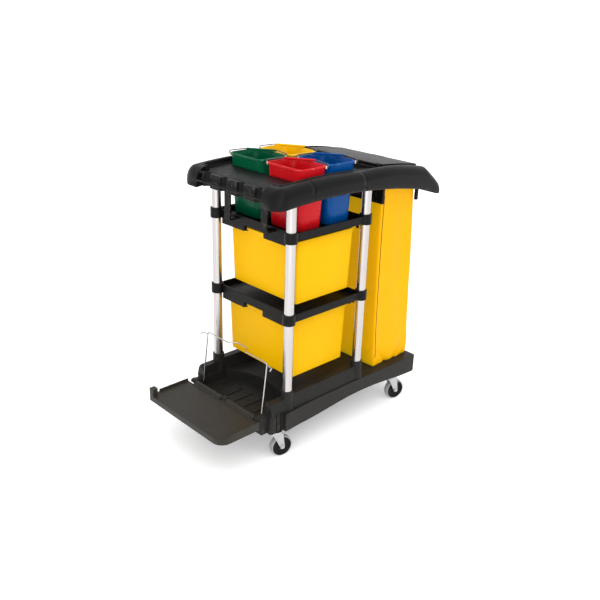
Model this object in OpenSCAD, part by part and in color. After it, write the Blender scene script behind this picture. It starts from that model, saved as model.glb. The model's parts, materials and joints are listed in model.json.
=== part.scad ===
// Janitor cart: a moulded deck on four swivel casters, tube posts, two bins hung under shelves,
// four lift-out pails in an arched top tray, a waste bag under a hinged lid at the rear,
// a fold-up platform and a wire bail at the front.
// X runs from the platform (-X) to the push handle (+X), Y across the cart, Z up from the floor.

/* [Posts] */
// Distance between the front and the rear posts
post_gap_x = 398; // [392:1:430]
// Distance between the left and the right posts
post_gap_y = 432; // [426:1:444]
// Outside diameter of a post
post_d = 38; // [30:0.5:40]
// Wall of a post tube
post_wall = 2; // [1:0.1:4]
// Depth of a post in its deck socket
post_seat = 64; // [40:1:66]
// Depth of a post in its tray socket
post_cap = 38; // [20:1:45]
// Radial clearance between a post and its sockets and collars
post_fit = 0.15; // [0.1:0.05:0.4]
// Clearance under a piece that rests on another
seat_gap = 0.3; // [0.2:0.05:0.5]
// Gap between flat faces that turn past each other
face_gap = 0.5; // [0.3:0.1:1]

/* [Casters] */
// Diameter of a wheel
wheel_d = 90; // [64:1:92]
// Width of a wheel
wheel_w = 26; // [18:1:32]
// Thickness of the tyre
tyre_t = 5; // [5:0.5:14]
// Diameter of an axle
axle_d = 10; // [6:0.5:12]
// Diameter of a swivel pin
kingpin_d = 12; // [8:0.5:16]
// Distance that the wheel trails behind its swivel pin
caster_trail = 25; // [15:1:32]
// Turn of the casters at rest, in degrees
caster_turn = -15; // [-180:1:180]
// Distance of the front casters ahead of the front posts
caster_ahead = 57; // [50:1:80]
// Distance of the rear casters behind the rear posts
caster_behind = 243; // [180:1:260]
// Distance between the left and the right casters
caster_gap_y = 428; // [404:1:430]
// Thickness of the fork's legs
fork_t = 3; // [2:0.25:5]
// Half length of the fork's crown ahead of the swivel pin
fork_front = 16; // [14:1:20]
// Gap between the wheel and the fork's legs
wheel_gap = 2; // [1.5:0.25:4]
// Height of the fork's swivel head
head_h = 11; // [8:0.5:14]
// Thickness of a caster's top plate
plate_t = 5; // [3:0.5:8]
// Width of the top plate round the swivel pin
plate_margin = 24; // [14:1:26]
// Depth of the swivel pin in the deck
kingpin_seat = 30; // [20:1:36]
// Height of the nut under the fork
nut_h = 6; // [4:0.5:8]
// Width of the nut round the swivel pin
nut_margin = 4; // [3:0.5:6]
// Height of an axle's head
axle_head_h = 4; // [2:0.5:6]
// Width of an axle's head round the axle
axle_head_margin = 3; // [2:0.5:5]
// Wall of the wheel's hub
hub_wall = 5; // [3:0.5:8]
// Depth of the hollow in each side of a wheel
wheel_dish = 4; // [2:0.5:6]
// Height of the wheel's rim outside the hollow
wheel_rim = 4; // [3:0.5:8]
// Bevel of the tyre's edges
tyre_bevel = 3; // [1:0.5:4]
// Radial clearance of everything that turns on a pin
run_fit = 0.06; // [0.03:0.01:0.1]

/* [Deck] */
// Height of the deck's lower edge above the floor
deck_base = 122; // [118:1:140]
// Height of the deck's side walls
deck_h = 78; // [70:1:90]
// Distance from the front posts to the deck's front face
deck_ahead = 128; // [124:1:150]
// Distance from the rear posts to the deck's rear face
deck_behind = 360; // [330:1:400]
// Width of the deck's sides if they were drawn out to the front face
deck_w_front = 528; // [510:1:540]
// Width of the deck at its waist
deck_w_waist = 490; // [480:1:520]
// Width of the deck at the rear
deck_w_rear = 514; // [490:1:540]
// Radius of the deck's rear corners
deck_corner = 12; // [8:1:50]
// Distance from the front posts to the front ends of the deck's sides
side_ahead = 38; // [30:1:44]
// Distance from the front posts to the front faces of the cheeks beside the hinge
cheek_ahead = 100; // [96:1:110]
// Width of the deck over its cheeks
cheek_w = 476; // [470:1:490]
// Radius of the cheeks' corners
cheek_r = 10; // [9:0.5:14]
// Wall of the deck moulding
deck_wall = 6; // [4:0.5:8]
// Height of a post socket above the deck
socket_h = 77; // [67:1:100]
// Wall of a post socket
socket_wall = 5; // [4:0.5:10]
// Flare of a socket's foot
socket_flare = 4; // [2:1:12]
// Height of the flare
flare_h = 47; // [30:1:60]
// Wall of the deck round a swivel pin
boss_wall = 16; // [10:1:18]
// Depth of the recess in the deck's front floor
recess_depth = 35; // [25:1:40]
// Width of the recess
recess_w = 380; // [372:1:384]
// Radius of the recess's rear edge
recess_r = 320; // [240:5:400]
// Distance from the front posts to the back of the recess
recess_back = 84; // [60:1:110]
// Height of the sill in front of the recess
sill_h = 7; // [4:1:12]
// Number of ribs on the recess floor
rib_count = 5; // [2:1:5]
// Distance between the ribs
rib_pitch = 58; // [40:1:64]
// Length of a rib
rib_l = 90; // [50:1:110]
// Width of a rib
rib_w = 6; // [3:0.5:10]
// Height of a rib
rib_h = 4; // [2:0.5:8]
// Distance from the deck's front face to the ribs
rib_back = 44; // [38:1:60]
// Length of the two grooves in the recess floor
floor_groove_l = 121; // [80:1:140]
// Width of a floor groove
floor_groove_w = 12; // [6:1:16]
// Depth of a floor groove
floor_groove_depth = 3; // [1:0.5:4]
// Distance between the two floor grooves
floor_groove_gap = 36; // [20:1:60]
// Distance from the deck's front face to the floor grooves
floor_groove_back = 26; // [20:1:30]
// Width of the upright grooves in the cheeks' sides
cheek_groove_w = 6; // [3:0.5:10]
// Depth of an upright groove
cheek_groove_depth = 4; // [2:0.5:5]
// Distance between the upright grooves of one cheek
cheek_groove_pitch = 22; // [12:1:24]
// Distance from a cheek's front face to the middle of its grooves
cheek_groove_back = 39; // [34:1:42]
// Rise of the upright grooves above the deck's top
cheek_groove_rise = 16; // [4:1:24]
// Distance of a side rail's inner face inside the posts' axes
rail_in = 21; // [16:1:24]
// Distance of a side rail's outer top edge outside the posts' axes
rail_out = 9; // [4:1:14]
// Slope of a side rail's outer face over its height
rail_slope = 13; // [2:1:16]
// Height of the rails that join the sockets along the sides
rail_h = 55; // [30:1:60]
// Height of the blocks in front of the front sockets
block_h = 46; // [30:1:54]
// Distance from the front posts to the blocks' front faces
block_ahead = 96; // [80:1:112]
// Radius of a block's front edge
block_r = 15; // [6:1:24]

/* [Platform] */
// Length of the platform in front of its hinge
platform_l = 200; // [160:1:240]
// Width of the platform
platform_w = 460; // [440:1:480]
// Height of the platform's rim above its underside
platform_h = 35; // [28:1:42]
// Height of the platform's floor above its underside
platform_floor = 25; // [18:1:27]
// Wall of the platform
platform_wall = 4; // [3:0.5:6]
// Distance from the deck's front face to the hinge line
hinge_gap = 12; // [11:0.5:16]
// Diameter of the hinge rod
hinge_d = 8; // [5:0.5:9]
// Outside diameter of the hinge knuckles
knuckle_d = 18; // [15:0.5:20]
// Gap between the platform's knuckles and the deck's lugs
knuckle_gap = 4; // [2:0.5:8]
// Depth of the hinge line below the deck's top
hinge_drop = 6; // [4:0.5:8]
// Width of the deck's hinge lugs
lug_w = 24; // [16:1:28]
// Distance from the deck's side to the outer lugs
lug_inset = 62; // [56:1:66]
// Gap between the platform's rear wall and the lugs
platform_gap = 4; // [3:0.5:8]
// Radius of the platform's front left corner
platform_corner = 45; // [10:1:60]
// Width of the block on the platform's front right corner
nub_w = 24; // [16:1:30]
// Rise of the block above the platform's rim
nub_rise = 22; // [4:1:26]

/* [Wire bail] */
// Diameter of the bail's wire
bail_d = 5; // [3:0.5:6]
// Distance between the bail's legs
bail_w = 368; // [300:1:372]
// Length of the bail's legs
bail_h = 228; // [160:1:260]
// Backward lean of the bail at rest, in degrees
bail_lean = 7; // [2:1:12]
// Distance of the bail's pivots behind the deck's front face
bail_back = 23; // [18:1:30]
// Height of the bail's pivots above the recess floor
bail_rise = 16; // [14:1:22]
// Length of the bail's pins in the deck
bail_pin = 12; // [8:1:14]
// Wall of the deck round a bail pin
bail_wall = 5; // [3:0.5:6]
// Radius of the bail's corners
bail_bend = 10; // [6:1:20]
// Depth of the middle crank in the bail's cross bar
crank_depth = 34; // [15:1:45]
// Width of the crank at its inner end
crank_w = 60; // [40:1:90]
// Length of the slanting parts beside the crank
crank_slope = 24; // [16:1:40]
// Length of the hook at each end of the cross bar
bail_hook = 30; // [12:1:34]
// Length of the hook's turned down tip
hook_tip = 10; // [6:1:16]

/* [Shelves] */
// Clear height between a deck socket and the middle shelf's collar
bay_low = 280; // [276:1:340]
// Clear height between the collars of the two shelves
bay_h = 278; // [274:1:330]
// Height of a shelf collar
collar_h = 41; // [34:1:50]
// Wall of a shelf collar
collar_wall = 6; // [4:0.5:8]
// Thickness of a shelf's floor
shelf_floor = 4; // [3:0.5:6]
// Height of a shelf's floor above the collars' lower ends
shelf_rise = 10; // [8:1:16]
// Thickness of a shelf's walls
shelf_wall = 5; // [3:0.5:8]
// Distance of the shelf's front and rear walls inside the posts' axes
shelf_inset = 8; // [2:1:14]
// Distance of the shelf's sides outside the posts' axes
shelf_side = 10; // [6:1:14]
// Height of a side band's lower edge above the collars' lower ends
band_low = 4; // [2:1:8]
// Drop of the band's upper edge below the collars' upper ends
band_high = 6; // [2:1:10]
// Drop of the front and rear skirts below the collars
skirt_drop = 23; // [14:1:30]
// Width of the notch in the front skirt
notch_w = 112; // [80:1:160]

/* [Bins] */
// Length of a bin at its rim, along the cart
bin_l = 299; // [250:1:304]
// Width of a bin at its rim, across the cart
bin_w = 384; // [360:1:410]
// Draft of a bin's walls from rim to base
bin_draft = 6; // [4:1:24]
// Height of a bin
bin_h = 251; // [200:1:260]
// Wall of a bin
bin_wall = 3; // [2:0.25:5]
// Reach of the lips that hang on the rails
lip_reach = 26; // [20:0.5:28]
// Thickness of a lip
lip_t = 9; // [5:0.5:12]
// Height of the sloping flare under a lip
lip_flare = 26; // [10:1:40]
// Reach of the flare under a lip
flare_reach = 13; // [8:0.5:14]
// Distance that the upper bin stands out to the left and the lower one to the right
bin_stagger = 8; // [0:1:12]
// Distance of the bins behind the middle of the posts
bin_shift = 0; // [0:1:10]
// Drop from a shelf's collars to the bin's rim
bin_drop = 11; // [9:0.5:16]
// Radius of a bin's corners
bin_corner = 8; // [6:1:30]
// Thickness of the bin rails
bin_rail_t = 4; // [3:0.5:5]
// Gap between the ends of the bin rails and the collars
bin_rail_gap = 5; // [3:0.5:12]
// Gap between the bin's lips and the rails' upright walls
lip_side = 1; // [0.5:0.25:2]
// Gap between the flares and the rails' flanges
lip_under = 2; // [1:0.5:4]
// Clearance between the bin's lips and the rails
lip_fit = 0.3; // [0.2:0.05:0.8]

/* [Pails] */
// Length of a pail at its rim, along the cart
pail_l = 140; // [130:1:146]
// Width of a pail at its rim, across the cart
pail_w = 184; // [150:1:186]
// Height of a pail
pail_h = 240; // [225:1:260]
// Draft of a pail's walls from rim to base
pail_draft = 9; // [6:1:30]
// Wall of a pail
pail_wall = 3; // [2:0.25:4]
// Radius of a pail's corners at the rim
pail_corner = 27; // [15:1:34]
// Overhang of the pail's rim
pail_rim = 3; // [2:0.5:4]
// Height of the rim's flange
pail_rim_h = 8; // [5:0.5:9]
// Distance between pail centres along the cart
pail_pitch_x = 155; // [152:1:200]
// Distance between pail centres across the cart
pail_pitch_y = 217; // [200:1:238]
// Distance of the pails' middle ahead of the posts' middle
pail_shift = 0; // [0:1:15]
// Diameter of a pail handle's wire
handle_d = 4; // [3:0.5:5]
// Diameter of the handle's pivot bushes
bush_d = 13; // [9:0.5:15]
// Length of a pivot bush
bush_l = 4; // [3:0.5:8]
// Drop of the pivots below the pail's rim
pivot_drop = 7; // [7:0.5:22]
// Length of the lug behind a pivot bush
pivot_lug = 12; // [8:0.5:16]
// Rise of the pivot lug beyond the pail's rim
pivot_rise = 1; // [0.5:0.5:4]
// Length of the handle's pin outside its bush
handle_step = 1; // [0.5:0.25:3]
// Distance of a lowered handle's grip from the pivot line
handle_reach = 48; // [40:1:49]
// Height of a lowered handle's grip above the pivot line
handle_rise = 13; // [12:0.5:20]
// Length of the handle's straight part
handle_flat = 140; // [120:1:142]
// Diameter of the tube on the handle
tube_d = 9; // [7:0.5:10]
// Length of the tube on the handle
tube_l = 120; // [80:1:124]

/* [Top tray] */
// Height from the upper shelf's collars to the tray's crown
crown_rise = 187; // [170:1:200]
// Distance of the crown behind the front posts
crown_back = 165; // [120:1:220]
// Radius of the tray's arch
crown_r = 2500; // [2000:50:4000]
// Distance from the rear posts to where the tail begins to droop
droop_behind = 292; // [250:1:330]
// Extra droop of the tail's tip
tail_droop = 10; // [0:1:30]
// Extra fall of the top at the tail's tip
tail_fall = 26; // [0:1:28]
// Rise of the rims beside and behind the lid
rim_rise = 22; // [0:1:26]
// Distance from the front posts to where the rims begin to rise
rim_from = 340; // [320:1:380]
// Width of the slope inside a rim
rim_slope = 6; // [3:0.5:7]
// Gap between the lid's tab and the rim behind it
rim_gap = 4; // [3:0.5:6]
// Distance from the front posts to the tray's front face
tray_ahead = 118; // [100:1:135]
// Distance from the rear posts to the tail's tip
tray_behind = 408; // [385:1:430]
// Width of the tray
tray_w = 554; // [540:1:580]
// Height of the tray's skirt
skirt_h = 70; // [60:1:80]
// Width of the rounded shoulder
shoulder_w = 40; // [25:1:42]
// Height of the rounded shoulder
shoulder_h = 38; // [20:1:45]
// Radius of the tray's front corners
tray_corner = 48; // [30:1:90]
// Radius of the tail's corners
tail_corner = 30; // [15:1:45]
// Roll of the tray's front edge
front_roll = 44; // [10:1:44]
// Wall of the tray
tray_wall = 5; // [3:0.5:6]
// Depth of the pan below the rim
pan_depth = 16; // [10:1:24]
// Thickness of the pan's floor and walls
pan_t = 4; // [3:0.5:6]
// Width of the flat rim between the shoulder and the pan
pan_margin = 7; // [4:1:12]
// Distance from the front posts to the pan's front wall
pan_ahead = 70; // [60:1:70]
// Width of the gap between the tray's front corners
front_gap = 368; // [360:1:380]
// Distance from the rear posts to the pan's rear wall
pan_behind = 68; // [60:1:72]
// Wall of a post socket under the tray
cap_wall = 5; // [3:0.5:6]
// Drop of the post sockets below the skirt's level at the crown
cap_drop = 12; // [6:1:16]
// Clearance of the well round the pails
well_gap = 5; // [4:0.5:6]
// Number of notches for tool handles in the front bar
grip_count = 4; // [2:1:4]
// Distance between the notches
grip_pitch = 98; // [70:1:100]
// Width of a notch
grip_d = 36; // [24:1:38]
// Height of the front bar
grip_h = 54; // [40:1:56]
// Thickness of the front bar
grip_t = 24; // [21:1:30]
// Distance of the front straps ahead of the front posts
strap_ahead = 34; // [30:1:60]
// Distance between the front straps
strap_pitch = 212; // [160:1:300]
// Width of a front strap
strap_w = 34; // [8:1:40]
// Thickness of a front strap
strap_t = 7; // [4:0.5:10]
// Drop of the straps' feet below the shelf's band
strap_drop = 16; // [10:1:24]

/* [Bag and lid] */
// Length of the lid
lid_l = 232; // [200:1:236]
// Gap between the pan's rear wall and the lid
lid_gap = 4; // [3:0.5:8]
// Distance from the lid's front edge to its hinge rod
rod_back = 6; // [5:0.5:9]
// Height of the hinge rod above the tray
rod_rise = 8; // [7.5:0.5:9]
// Wall of the lid's hinge knuckles
lid_knuckle_wall = 3.5; // [2.5:0.5:4]
// Width of the tray's outer hinge lugs
lid_lug_w = 24; // [16:1:36]
// Width of the tray's middle hinge lug
lid_lug_mid = 48; // [30:1:60]
// Distance from the hinge rod to the lid's side skirts
lid_skirt_back = 14; // [13:0.5:20]
// Gap between the lid's skirts and the tray
lid_skirt_gap = 2; // [1:0.5:4]
// Width of the lid's finger tab
tab_w = 60; // [40:1:90]
// Length of the finger tab behind the lid
tab_l = 12; // [8:1:20]
// Distance from the lid's front and rear edges to the bag's mouth
mouth_end = 26; // [18:1:32]
// Distance from the lid's sides to the bag's mouth
mouth_side = 22; // [14:1:30]
// Width of the lid
lid_w = 416; // [380:1:420]
// Thickness of the lid
lid_t = 4; // [3:0.5:5]
// Height of the lid's front edge above the tray
lid_rise = 13; // [12:0.5:15]
// Extra height of the lid's rear edge above the arch
lid_lift = 14; // [0:1:16]
// Diameter of the lid's hinge rod
lid_rod_d = 5; // [3:0.5:6]
// Length of the bag at its top
bag_l_top = 204; // [180:1:206]
// Length of the bag at its foot
bag_l_foot = 229; // [200:1:236]
// Width of the bag
bag_w = 424; // [380:1:428]
// Wall of the bag
bag_wall = 2.5; // [2:0.25:4]
// Radius of the bag's corners
bag_corner = 8; // [6:1:34]
// Distance that the bag's foot lies behind its top
bag_shift = 20; // [0:1:26]
// Distance from the rear posts to the bag frame
frame_behind = 86; // [80:1:90]
// Thickness of the bag frame's bars
frame_t = 12; // [8:1:14]
// Height of the bag frame's front bar
frame_h = 76; // [50:1:80]
// Depth of the bag frame's lower edge below the tray's crown
frame_drop = 164; // [155:1:175]
// Depth of the bag's edge below the frame's top
bag_rim = 2; // [1:0.5:6]
// Drop of the rear hooks below the front bar
frame_hook = 16; // [10:1:40]
// Clearance between the bag and what carries it
bag_fit = 0.3; // [0.2:0.05:0.6]
// Width of the bag's zip
zip_w = 8; // [4:0.5:12]
// Thickness of the zip
zip_t = 2; // [1:0.25:3]
// Distance of the zip's lower end from the bag's front face
zip_foot = 29; // [28:1:70]
// Distance of the zip's upper end from the bag's front face
zip_head = 9; // [8:1:60]
// Distance of the zip's lower end above the deck
zip_low = 30; // [10:1:60]
// Distance of the zip's upper end below the bag's edge
zip_high = 60; // [20:1:90]

/* [Hidden] */
$fn = 48;

black = [0.16, 0.16, 0.16];
bright = [0.82, 0.83, 0.85];
bin_yellow = [0.98, 0.79, 0.08];
cream = [0.93, 0.89, 0.74];

// Overlap of joined shapes and overrun of cuts
eps = 1;
// Thickness of the end slices of a tapered shape
slice = 0.5;

// Levels
deck_top = deck_base + deck_h;
recess_z = deck_top - recess_depth;
socket_top = deck_top + socket_h;
collar_mid_z = socket_top + bay_low;
collar_up_z = collar_mid_z + collar_h + bay_h;
crown_z = collar_up_z + collar_h + crown_rise;
pail_z = collar_up_z + shelf_rise + shelf_floor + seat_gap;
post_foot = socket_top - post_seat;
cap_z = crown_z - skirt_h - cap_drop;
post_top = cap_z + post_cap;

// Places along the cart, measured from the front posts
deck_front = -deck_ahead;
deck_rear = post_gap_x + deck_behind;
side_x = -side_ahead;
cheek_x = -cheek_ahead;
hinge_x = deck_front - hinge_gap;
hinge_z = deck_top - hinge_drop;
platform_front = hinge_x - platform_l;
tray_front = -tray_ahead;
tail_x = post_gap_x + tray_behind;
pan_front = -pan_ahead;
pan_rear = post_gap_x + pan_behind;
droop_x = post_gap_x + droop_behind;
lid_front = pan_rear + lid_gap;
lid_rear = lid_front + lid_l;
rim_x = lid_rear + tab_l + rim_gap;
frame_x = post_gap_x + frame_behind;
bag_x = frame_x + frame_t + bag_fit;
mid_x = (platform_front + tail_x) / 2;
pail_x = post_gap_x / 2 - pail_shift;
bin_x = post_gap_x / 2 + bin_shift;

// Corners of a pattern of four, in the order front left, front right, rear left, rear right
function four(x0, x1, pitch_y) = [for (x = [x0, x1]) for (y = [-pitch_y / 2, pitch_y / 2]) [x, y]];
posts = four(0, post_gap_x, post_gap_y);
casters = four(-caster_ahead, post_gap_x + caster_behind, caster_gap_y);
pails = four(pail_x - pail_pitch_x / 2, pail_x + pail_pitch_x / 2, pail_pitch_y);

// Puts the cart's middle over the origin
module in_frame() translate([-mid_x, 0, 0]) children();

// A shape and its mirror image on the other side of the cart
module both_sides() {
    children();
    mirror([0, 1, 0]) children();
}

// Points of an arc about (cx, cy), from angle a0 to a1 in n steps
function arc(cx, cy, r, a0, a1, n) =
    [for (i = [0:n]) let (a = a0 + (a1 - a0) * i / n) [cx + r * cos(a), cy + r * sin(a)]];
function back(p) = [for (i = [len(p) - 1:-1:0]) p[i]];
function mirrored(p) = [for (q = back(p)) [q[0], -q[1]]];
function flat(v) = [for (a = v) each a];
function unit(v) = v / norm(v);

// Rectangle with round corners, as an outline and as a slab from height z
function round_rect(lx, ly, r, n = 6) = let (x = lx / 2 - r, y = ly / 2 - r) concat(
    arc(x, y, r, 0, 90, n), arc(-x, y, r, 90, 180, n),
    arc(-x, -y, r, 180, 270, n), arc(x, -y, r, 270, 360, n));
module slab(lx, ly, r, z, h) translate([0, 0, z]) linear_extrude(h) polygon(round_rect(lx, ly, r));

// Tapered block with round corners: size at the top, inset of the base, height and corner radius
module taper(lx, ly, inset, h, r) hull() {
    slab(lx - 2 * inset, ly - 2 * inset, r, 0, slice);
    slab(lx, ly, r, h - slice, slice);
}

// Round wire swept along a path, with frames carried from point to point
function tangents(p) = [for (i = [0:len(p) - 1]) unit(p[min(i + 1, len(p) - 1)] - p[max(i - 1, 0)])];
function carry(n, t0, t1) = let (v = cross(t0, t1), c = t0 * t1, l = norm(v))
    l < 1e-6 ? n : n * c + cross(v, n) + v * (v * n) * (1 - c) / (l * l);
function first_normal(t) = unit(cross(t, abs(t[2]) < 0.9 ? [0, 0, 1] : [1, 0, 0]));
function normal_at(t, k) = k == 0 ? first_normal(t[0]) : carry(normal_at(t, k - 1), t[k - 1], t[k]);
module wire(path, d, sides = 10) {
    t = tangents(path);
    n = len(path);
    pts = [for (k = [0:n - 1]) let (u = normal_at(t, k), w = cross(t[k], u)) for (j = [0:sides - 1])
        let (a = 360 * j / sides) path[k] + d / 2 * (u * cos(a) + w * sin(a))];
    skin = [for (k = [0:n - 2]) for (j = [0:sides - 1])
        let (a = k * sides + j, b = k * sides + (j + 1) % sides)
            each [[a, a + sides, b + sides], [a, b + sides, b]]];
    ends = [[for (j = [0:sides - 1]) j], [for (j = [sides - 1:-1:0]) (n - 1) * sides + j]];
    polyhedron(pts, concat(skin, ends));
}
// Ball that closes the corner between a wire and its pin, a little thicker than the wire
module wire_knee(d) sphere(d = d * 1.04);

// Cylinder lying along Y, from y0 to y1
module y_rod(x, z, r, y0, y1) translate([x, y0, z]) rotate([-90, 0, 0]) cylinder(r = r, h = y1 - y0);

// Plate across the cart from y0 to y1, between an upper and a lower line of points in X and Z
module band(upper, lower, y0, y1) translate([0, y1, 0]) rotate([90, 0, 0]) linear_extrude(y1 - y0)
    polygon(concat(upper, back(lower)));

// Deck

bail_x = deck_front + bail_back;
bail_z = recess_z + bail_rise;
lug_y = deck_w_front / 2 - lug_inset;
hinge_half = lug_y + lug_w / 2;

// Half width of the deck, which is narrowest between the posts
function deck_half(x) = let (m = post_gap_x / 2, front = x < m,
    part = front ? (m - x) / (m - deck_front) : (x - m) / (deck_rear - m),
    widest = front ? deck_w_front : deck_w_rear)
    deck_w_waist / 2 + (widest - deck_w_waist) / 2 * part * part;
// One side of the outline: the nose that carries the hinge, the cheek, and the side wall
function deck_side(t) = let (rx = deck_rear - deck_corner, y = cheek_w / 2, n = 10) concat(
    [[deck_front + t, hinge_half - t], [cheek_x + t, hinge_half - t]],
    arc(cheek_x + cheek_r, y - cheek_r, cheek_r - t, 180, 90, 4),
    [[side_x + t, y - t], [side_x + t, deck_half(side_x) - t]],
    [for (k = [1:n - 1]) let (x = side_x + (rx - side_x) * k / n) [x, deck_half(x) - t]],
    arc(rx, deck_half(rx) - deck_corner, deck_corner - t, 90, 0, 6));
// Outline of the deck, drawn in by t
function deck_outline(t) = concat(deck_side(t), mirrored(deck_side(t)));

// Plan of the front recess, grown by t
module recess_plan(t) intersection() {
    translate([deck_front + deck_wall - t, -recess_w / 2 - t])
        square([recess_back - deck_front, recess_w + 2 * t]);
    translate([recess_back - recess_r, 0]) circle(r = recess_r + t, $fn = 96);
}

module deck_shell() difference() {
    translate([0, 0, deck_base]) linear_extrude(deck_h) polygon(deck_outline(0));
    // Hollow below the main floor and below the recess
    translate([0, 0, deck_base - eps]) linear_extrude(deck_h - deck_wall + eps) difference() {
        polygon(deck_outline(deck_wall));
        recess_plan(deck_wall);
    }
    translate([0, 0, deck_base - eps]) linear_extrude(recess_z - deck_base - deck_wall + eps) intersection() {
        polygon(deck_outline(deck_wall));
        recess_plan(deck_wall + eps);
    }
    translate([0, 0, recess_z]) linear_extrude(recess_depth + eps) recess_plan(0);
    // Low sill in front of the recess
    translate([deck_front - eps, -recess_w / 2, recess_z + sill_h])
        cube([deck_wall + 2 * eps, recess_w, recess_depth]);
}

// Post socket with a flared foot that ends at the deck's edge
module socket(p) {
    r = post_d / 2 + socket_wall;
    translate([p[0], p[1], deck_top - deck_wall]) cylinder(r = r, h = socket_h + deck_wall);
    intersection() {
        translate([p[0], p[1], deck_top]) cylinder(r1 = r + socket_flare, r2 = r, h = flare_h);
        translate([0, 0, deck_base]) linear_extrude(deck_h + socket_h) polygon(deck_outline(0));
    }
}

// Rail of the right side with a sloping outer face, from x0 to x1
module side_rail(x0, x1, h) {
    y0 = post_gap_y / 2 - rail_in;
    y1 = post_gap_y / 2 + rail_out;
    translate([x0, 0, deck_top]) rotate([90, 0, 90]) linear_extrude(x1 - x0)
        polygon([[y0, -eps], [y1 + rail_slope, -eps], [y1, h], [y0, h]]);
}

// Block in front of the right side's front socket, with a round front edge
module front_block() intersection() {
    side_rail(-block_ahead, 0, block_h);
    band(concat(arc(block_r - block_ahead, deck_top + block_h - block_r, block_r, 180, 90, 6),
        [[eps, deck_top + block_h]]), [[-block_ahead, deck_base], [eps, deck_base]], 0, deck_w_front);
}

// Lug about y that carries the hinge rod
module hinge_lug(y) {
    y0 = y - lug_w / 2;
    y_rod(hinge_x, hinge_z, knuckle_d / 2, y0, y0 + lug_w);
    translate([hinge_x, y0, hinge_z - knuckle_d / 2]) cube([hinge_gap + eps, lug_w, knuckle_d]);
    translate([deck_front - deck_wall / 2, y0, recess_z - deck_wall])
        cube([deck_wall, lug_w, hinge_z - recess_z + deck_wall]);
}

module deck() color(black) in_frame() difference() {
    union() {
        deck_shell();
        for (p = posts) socket(p);
        both_sides() {
            side_rail(0, post_gap_x, rail_h);
            front_block();
        }
        for (c = casters) translate([c[0], c[1], deck_base])
            cylinder(r = kingpin_d / 2 + boss_wall, h = deck_h - deck_wall / 2);
        both_sides()
            y_rod(bail_x, bail_z, bail_d / 2 + bail_wall, recess_w / 2, recess_w / 2 + bail_pin + bail_wall);
        for (y = [0, lug_y, -lug_y]) hinge_lug(y);
        for (k = [0:rib_count - 1])
            translate([deck_front + rib_back, (k - (rib_count - 1) / 2) * rib_pitch, recess_z - eps])
                translate([0, -rib_w / 2, 0]) cube([rib_l, rib_w, rib_h + eps]);
    }
    for (p = posts) translate([p[0], p[1], post_foot])
        cylinder(r = post_d / 2 + post_fit, h = post_seat + eps);
    for (c = casters) translate([c[0], c[1], deck_base - eps])
        cylinder(r = kingpin_d / 2 + post_fit, h = kingpin_seat + eps);
    y_rod(bail_x, bail_z, bail_d / 2 + run_fit, -recess_w / 2 - bail_pin, recess_w / 2 + bail_pin);
    y_rod(hinge_x, hinge_z, hinge_d / 2 + post_fit, -hinge_half - eps, hinge_half + eps);
    both_sides() {
        translate([deck_front + floor_groove_back - floor_groove_w / 2, floor_groove_gap / 2,
            recess_z - floor_groove_depth]) cube([floor_groove_w, floor_groove_l, recess_depth]);
        // Upright grooves in the cheek's side
        for (g = [-1, 1])
            translate([cheek_x + cheek_groove_back + (g * cheek_groove_pitch - cheek_groove_w) / 2,
                cheek_w / 2 - cheek_groove_depth, deck_base - eps])
                cube([cheek_groove_w, cheek_groove_depth + eps, deck_h + cheek_groove_rise + eps]);
    }
}

// Posts

module post(i) color(bright) in_frame() translate([posts[i][0], posts[i][1], post_foot]) difference() {
    cylinder(d = post_d, h = post_top - post_foot);
    translate([0, 0, -eps]) cylinder(d = post_d - 2 * post_wall, h = post_top - post_foot + 2 * eps);
}

// Shelves

shelf_x0 = shelf_inset;
shelf_x1 = post_gap_x - shelf_inset;
shelf_half = post_gap_y / 2 + shelf_side;
collar_r = post_d / 2 + collar_wall;

module shelf(z) color(black) in_frame() translate([0, 0, z]) difference() {
    union() {
        for (p = posts) translate(p) cylinder(r = collar_r, h = collar_h);
        translate([shelf_x0, -shelf_half, shelf_rise])
            cube([shelf_x1 - shelf_x0, 2 * shelf_half, shelf_floor]);
        both_sides() translate([0, shelf_half - shelf_wall, band_low])
            cube([post_gap_x, shelf_wall, collar_h - band_low - band_high]);
        // Front and rear skirts
        for (x = [shelf_x0, shelf_x1 - shelf_wall]) translate([x, -post_gap_y / 2, -skirt_drop])
            cube([shelf_wall, post_gap_y, skirt_drop + collar_h - band_high]);
    }
    for (p = posts) {
        translate([p[0], p[1], -eps]) cylinder(r = post_d / 2 + post_fit, h = collar_h + 2 * eps);
        // The skirts end beside the posts
        translate([p[0], p[1], -skirt_drop - eps]) cylinder(r = collar_r, h = skirt_drop + eps);
    }
    // Notch in the front skirt
    translate([shelf_x0 - eps, -notch_w / 2, -skirt_drop - eps])
        cube([shelf_wall + 2 * eps, notch_w, skirt_drop + eps]);
}

// Bins

// Rail at the bin's front end from y0 to y1, under a shelf whose collars begin at z;
// the lips slide on its flange
module bin_rail(z, y0, y1) {
    low = bin_drop + lip_t + lip_fit + bin_rail_t;
    translate([-bin_l / 2 - lip_reach - lip_side - bin_rail_t, y0, z - low]) {
        cube([bin_rail_t, y1 - y0, low + shelf_rise]);
        cube([bin_rail_t + lip_side + lip_reach - flare_reach - lip_under, y1 - y0, bin_rail_t]);
    }
}

module bin_rails() color(black) in_frame() translate([bin_x, 0, 0]) for (z = [collar_mid_z, collar_up_z]) {
    end = post_gap_y / 2 - collar_r - bin_rail_gap;
    // The front rail is open behind the shelf's notch
    both_sides() bin_rail(z, notch_w / 2, end);
    mirror([1, 0, 0]) bin_rail(z, -end, end);
}

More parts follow.
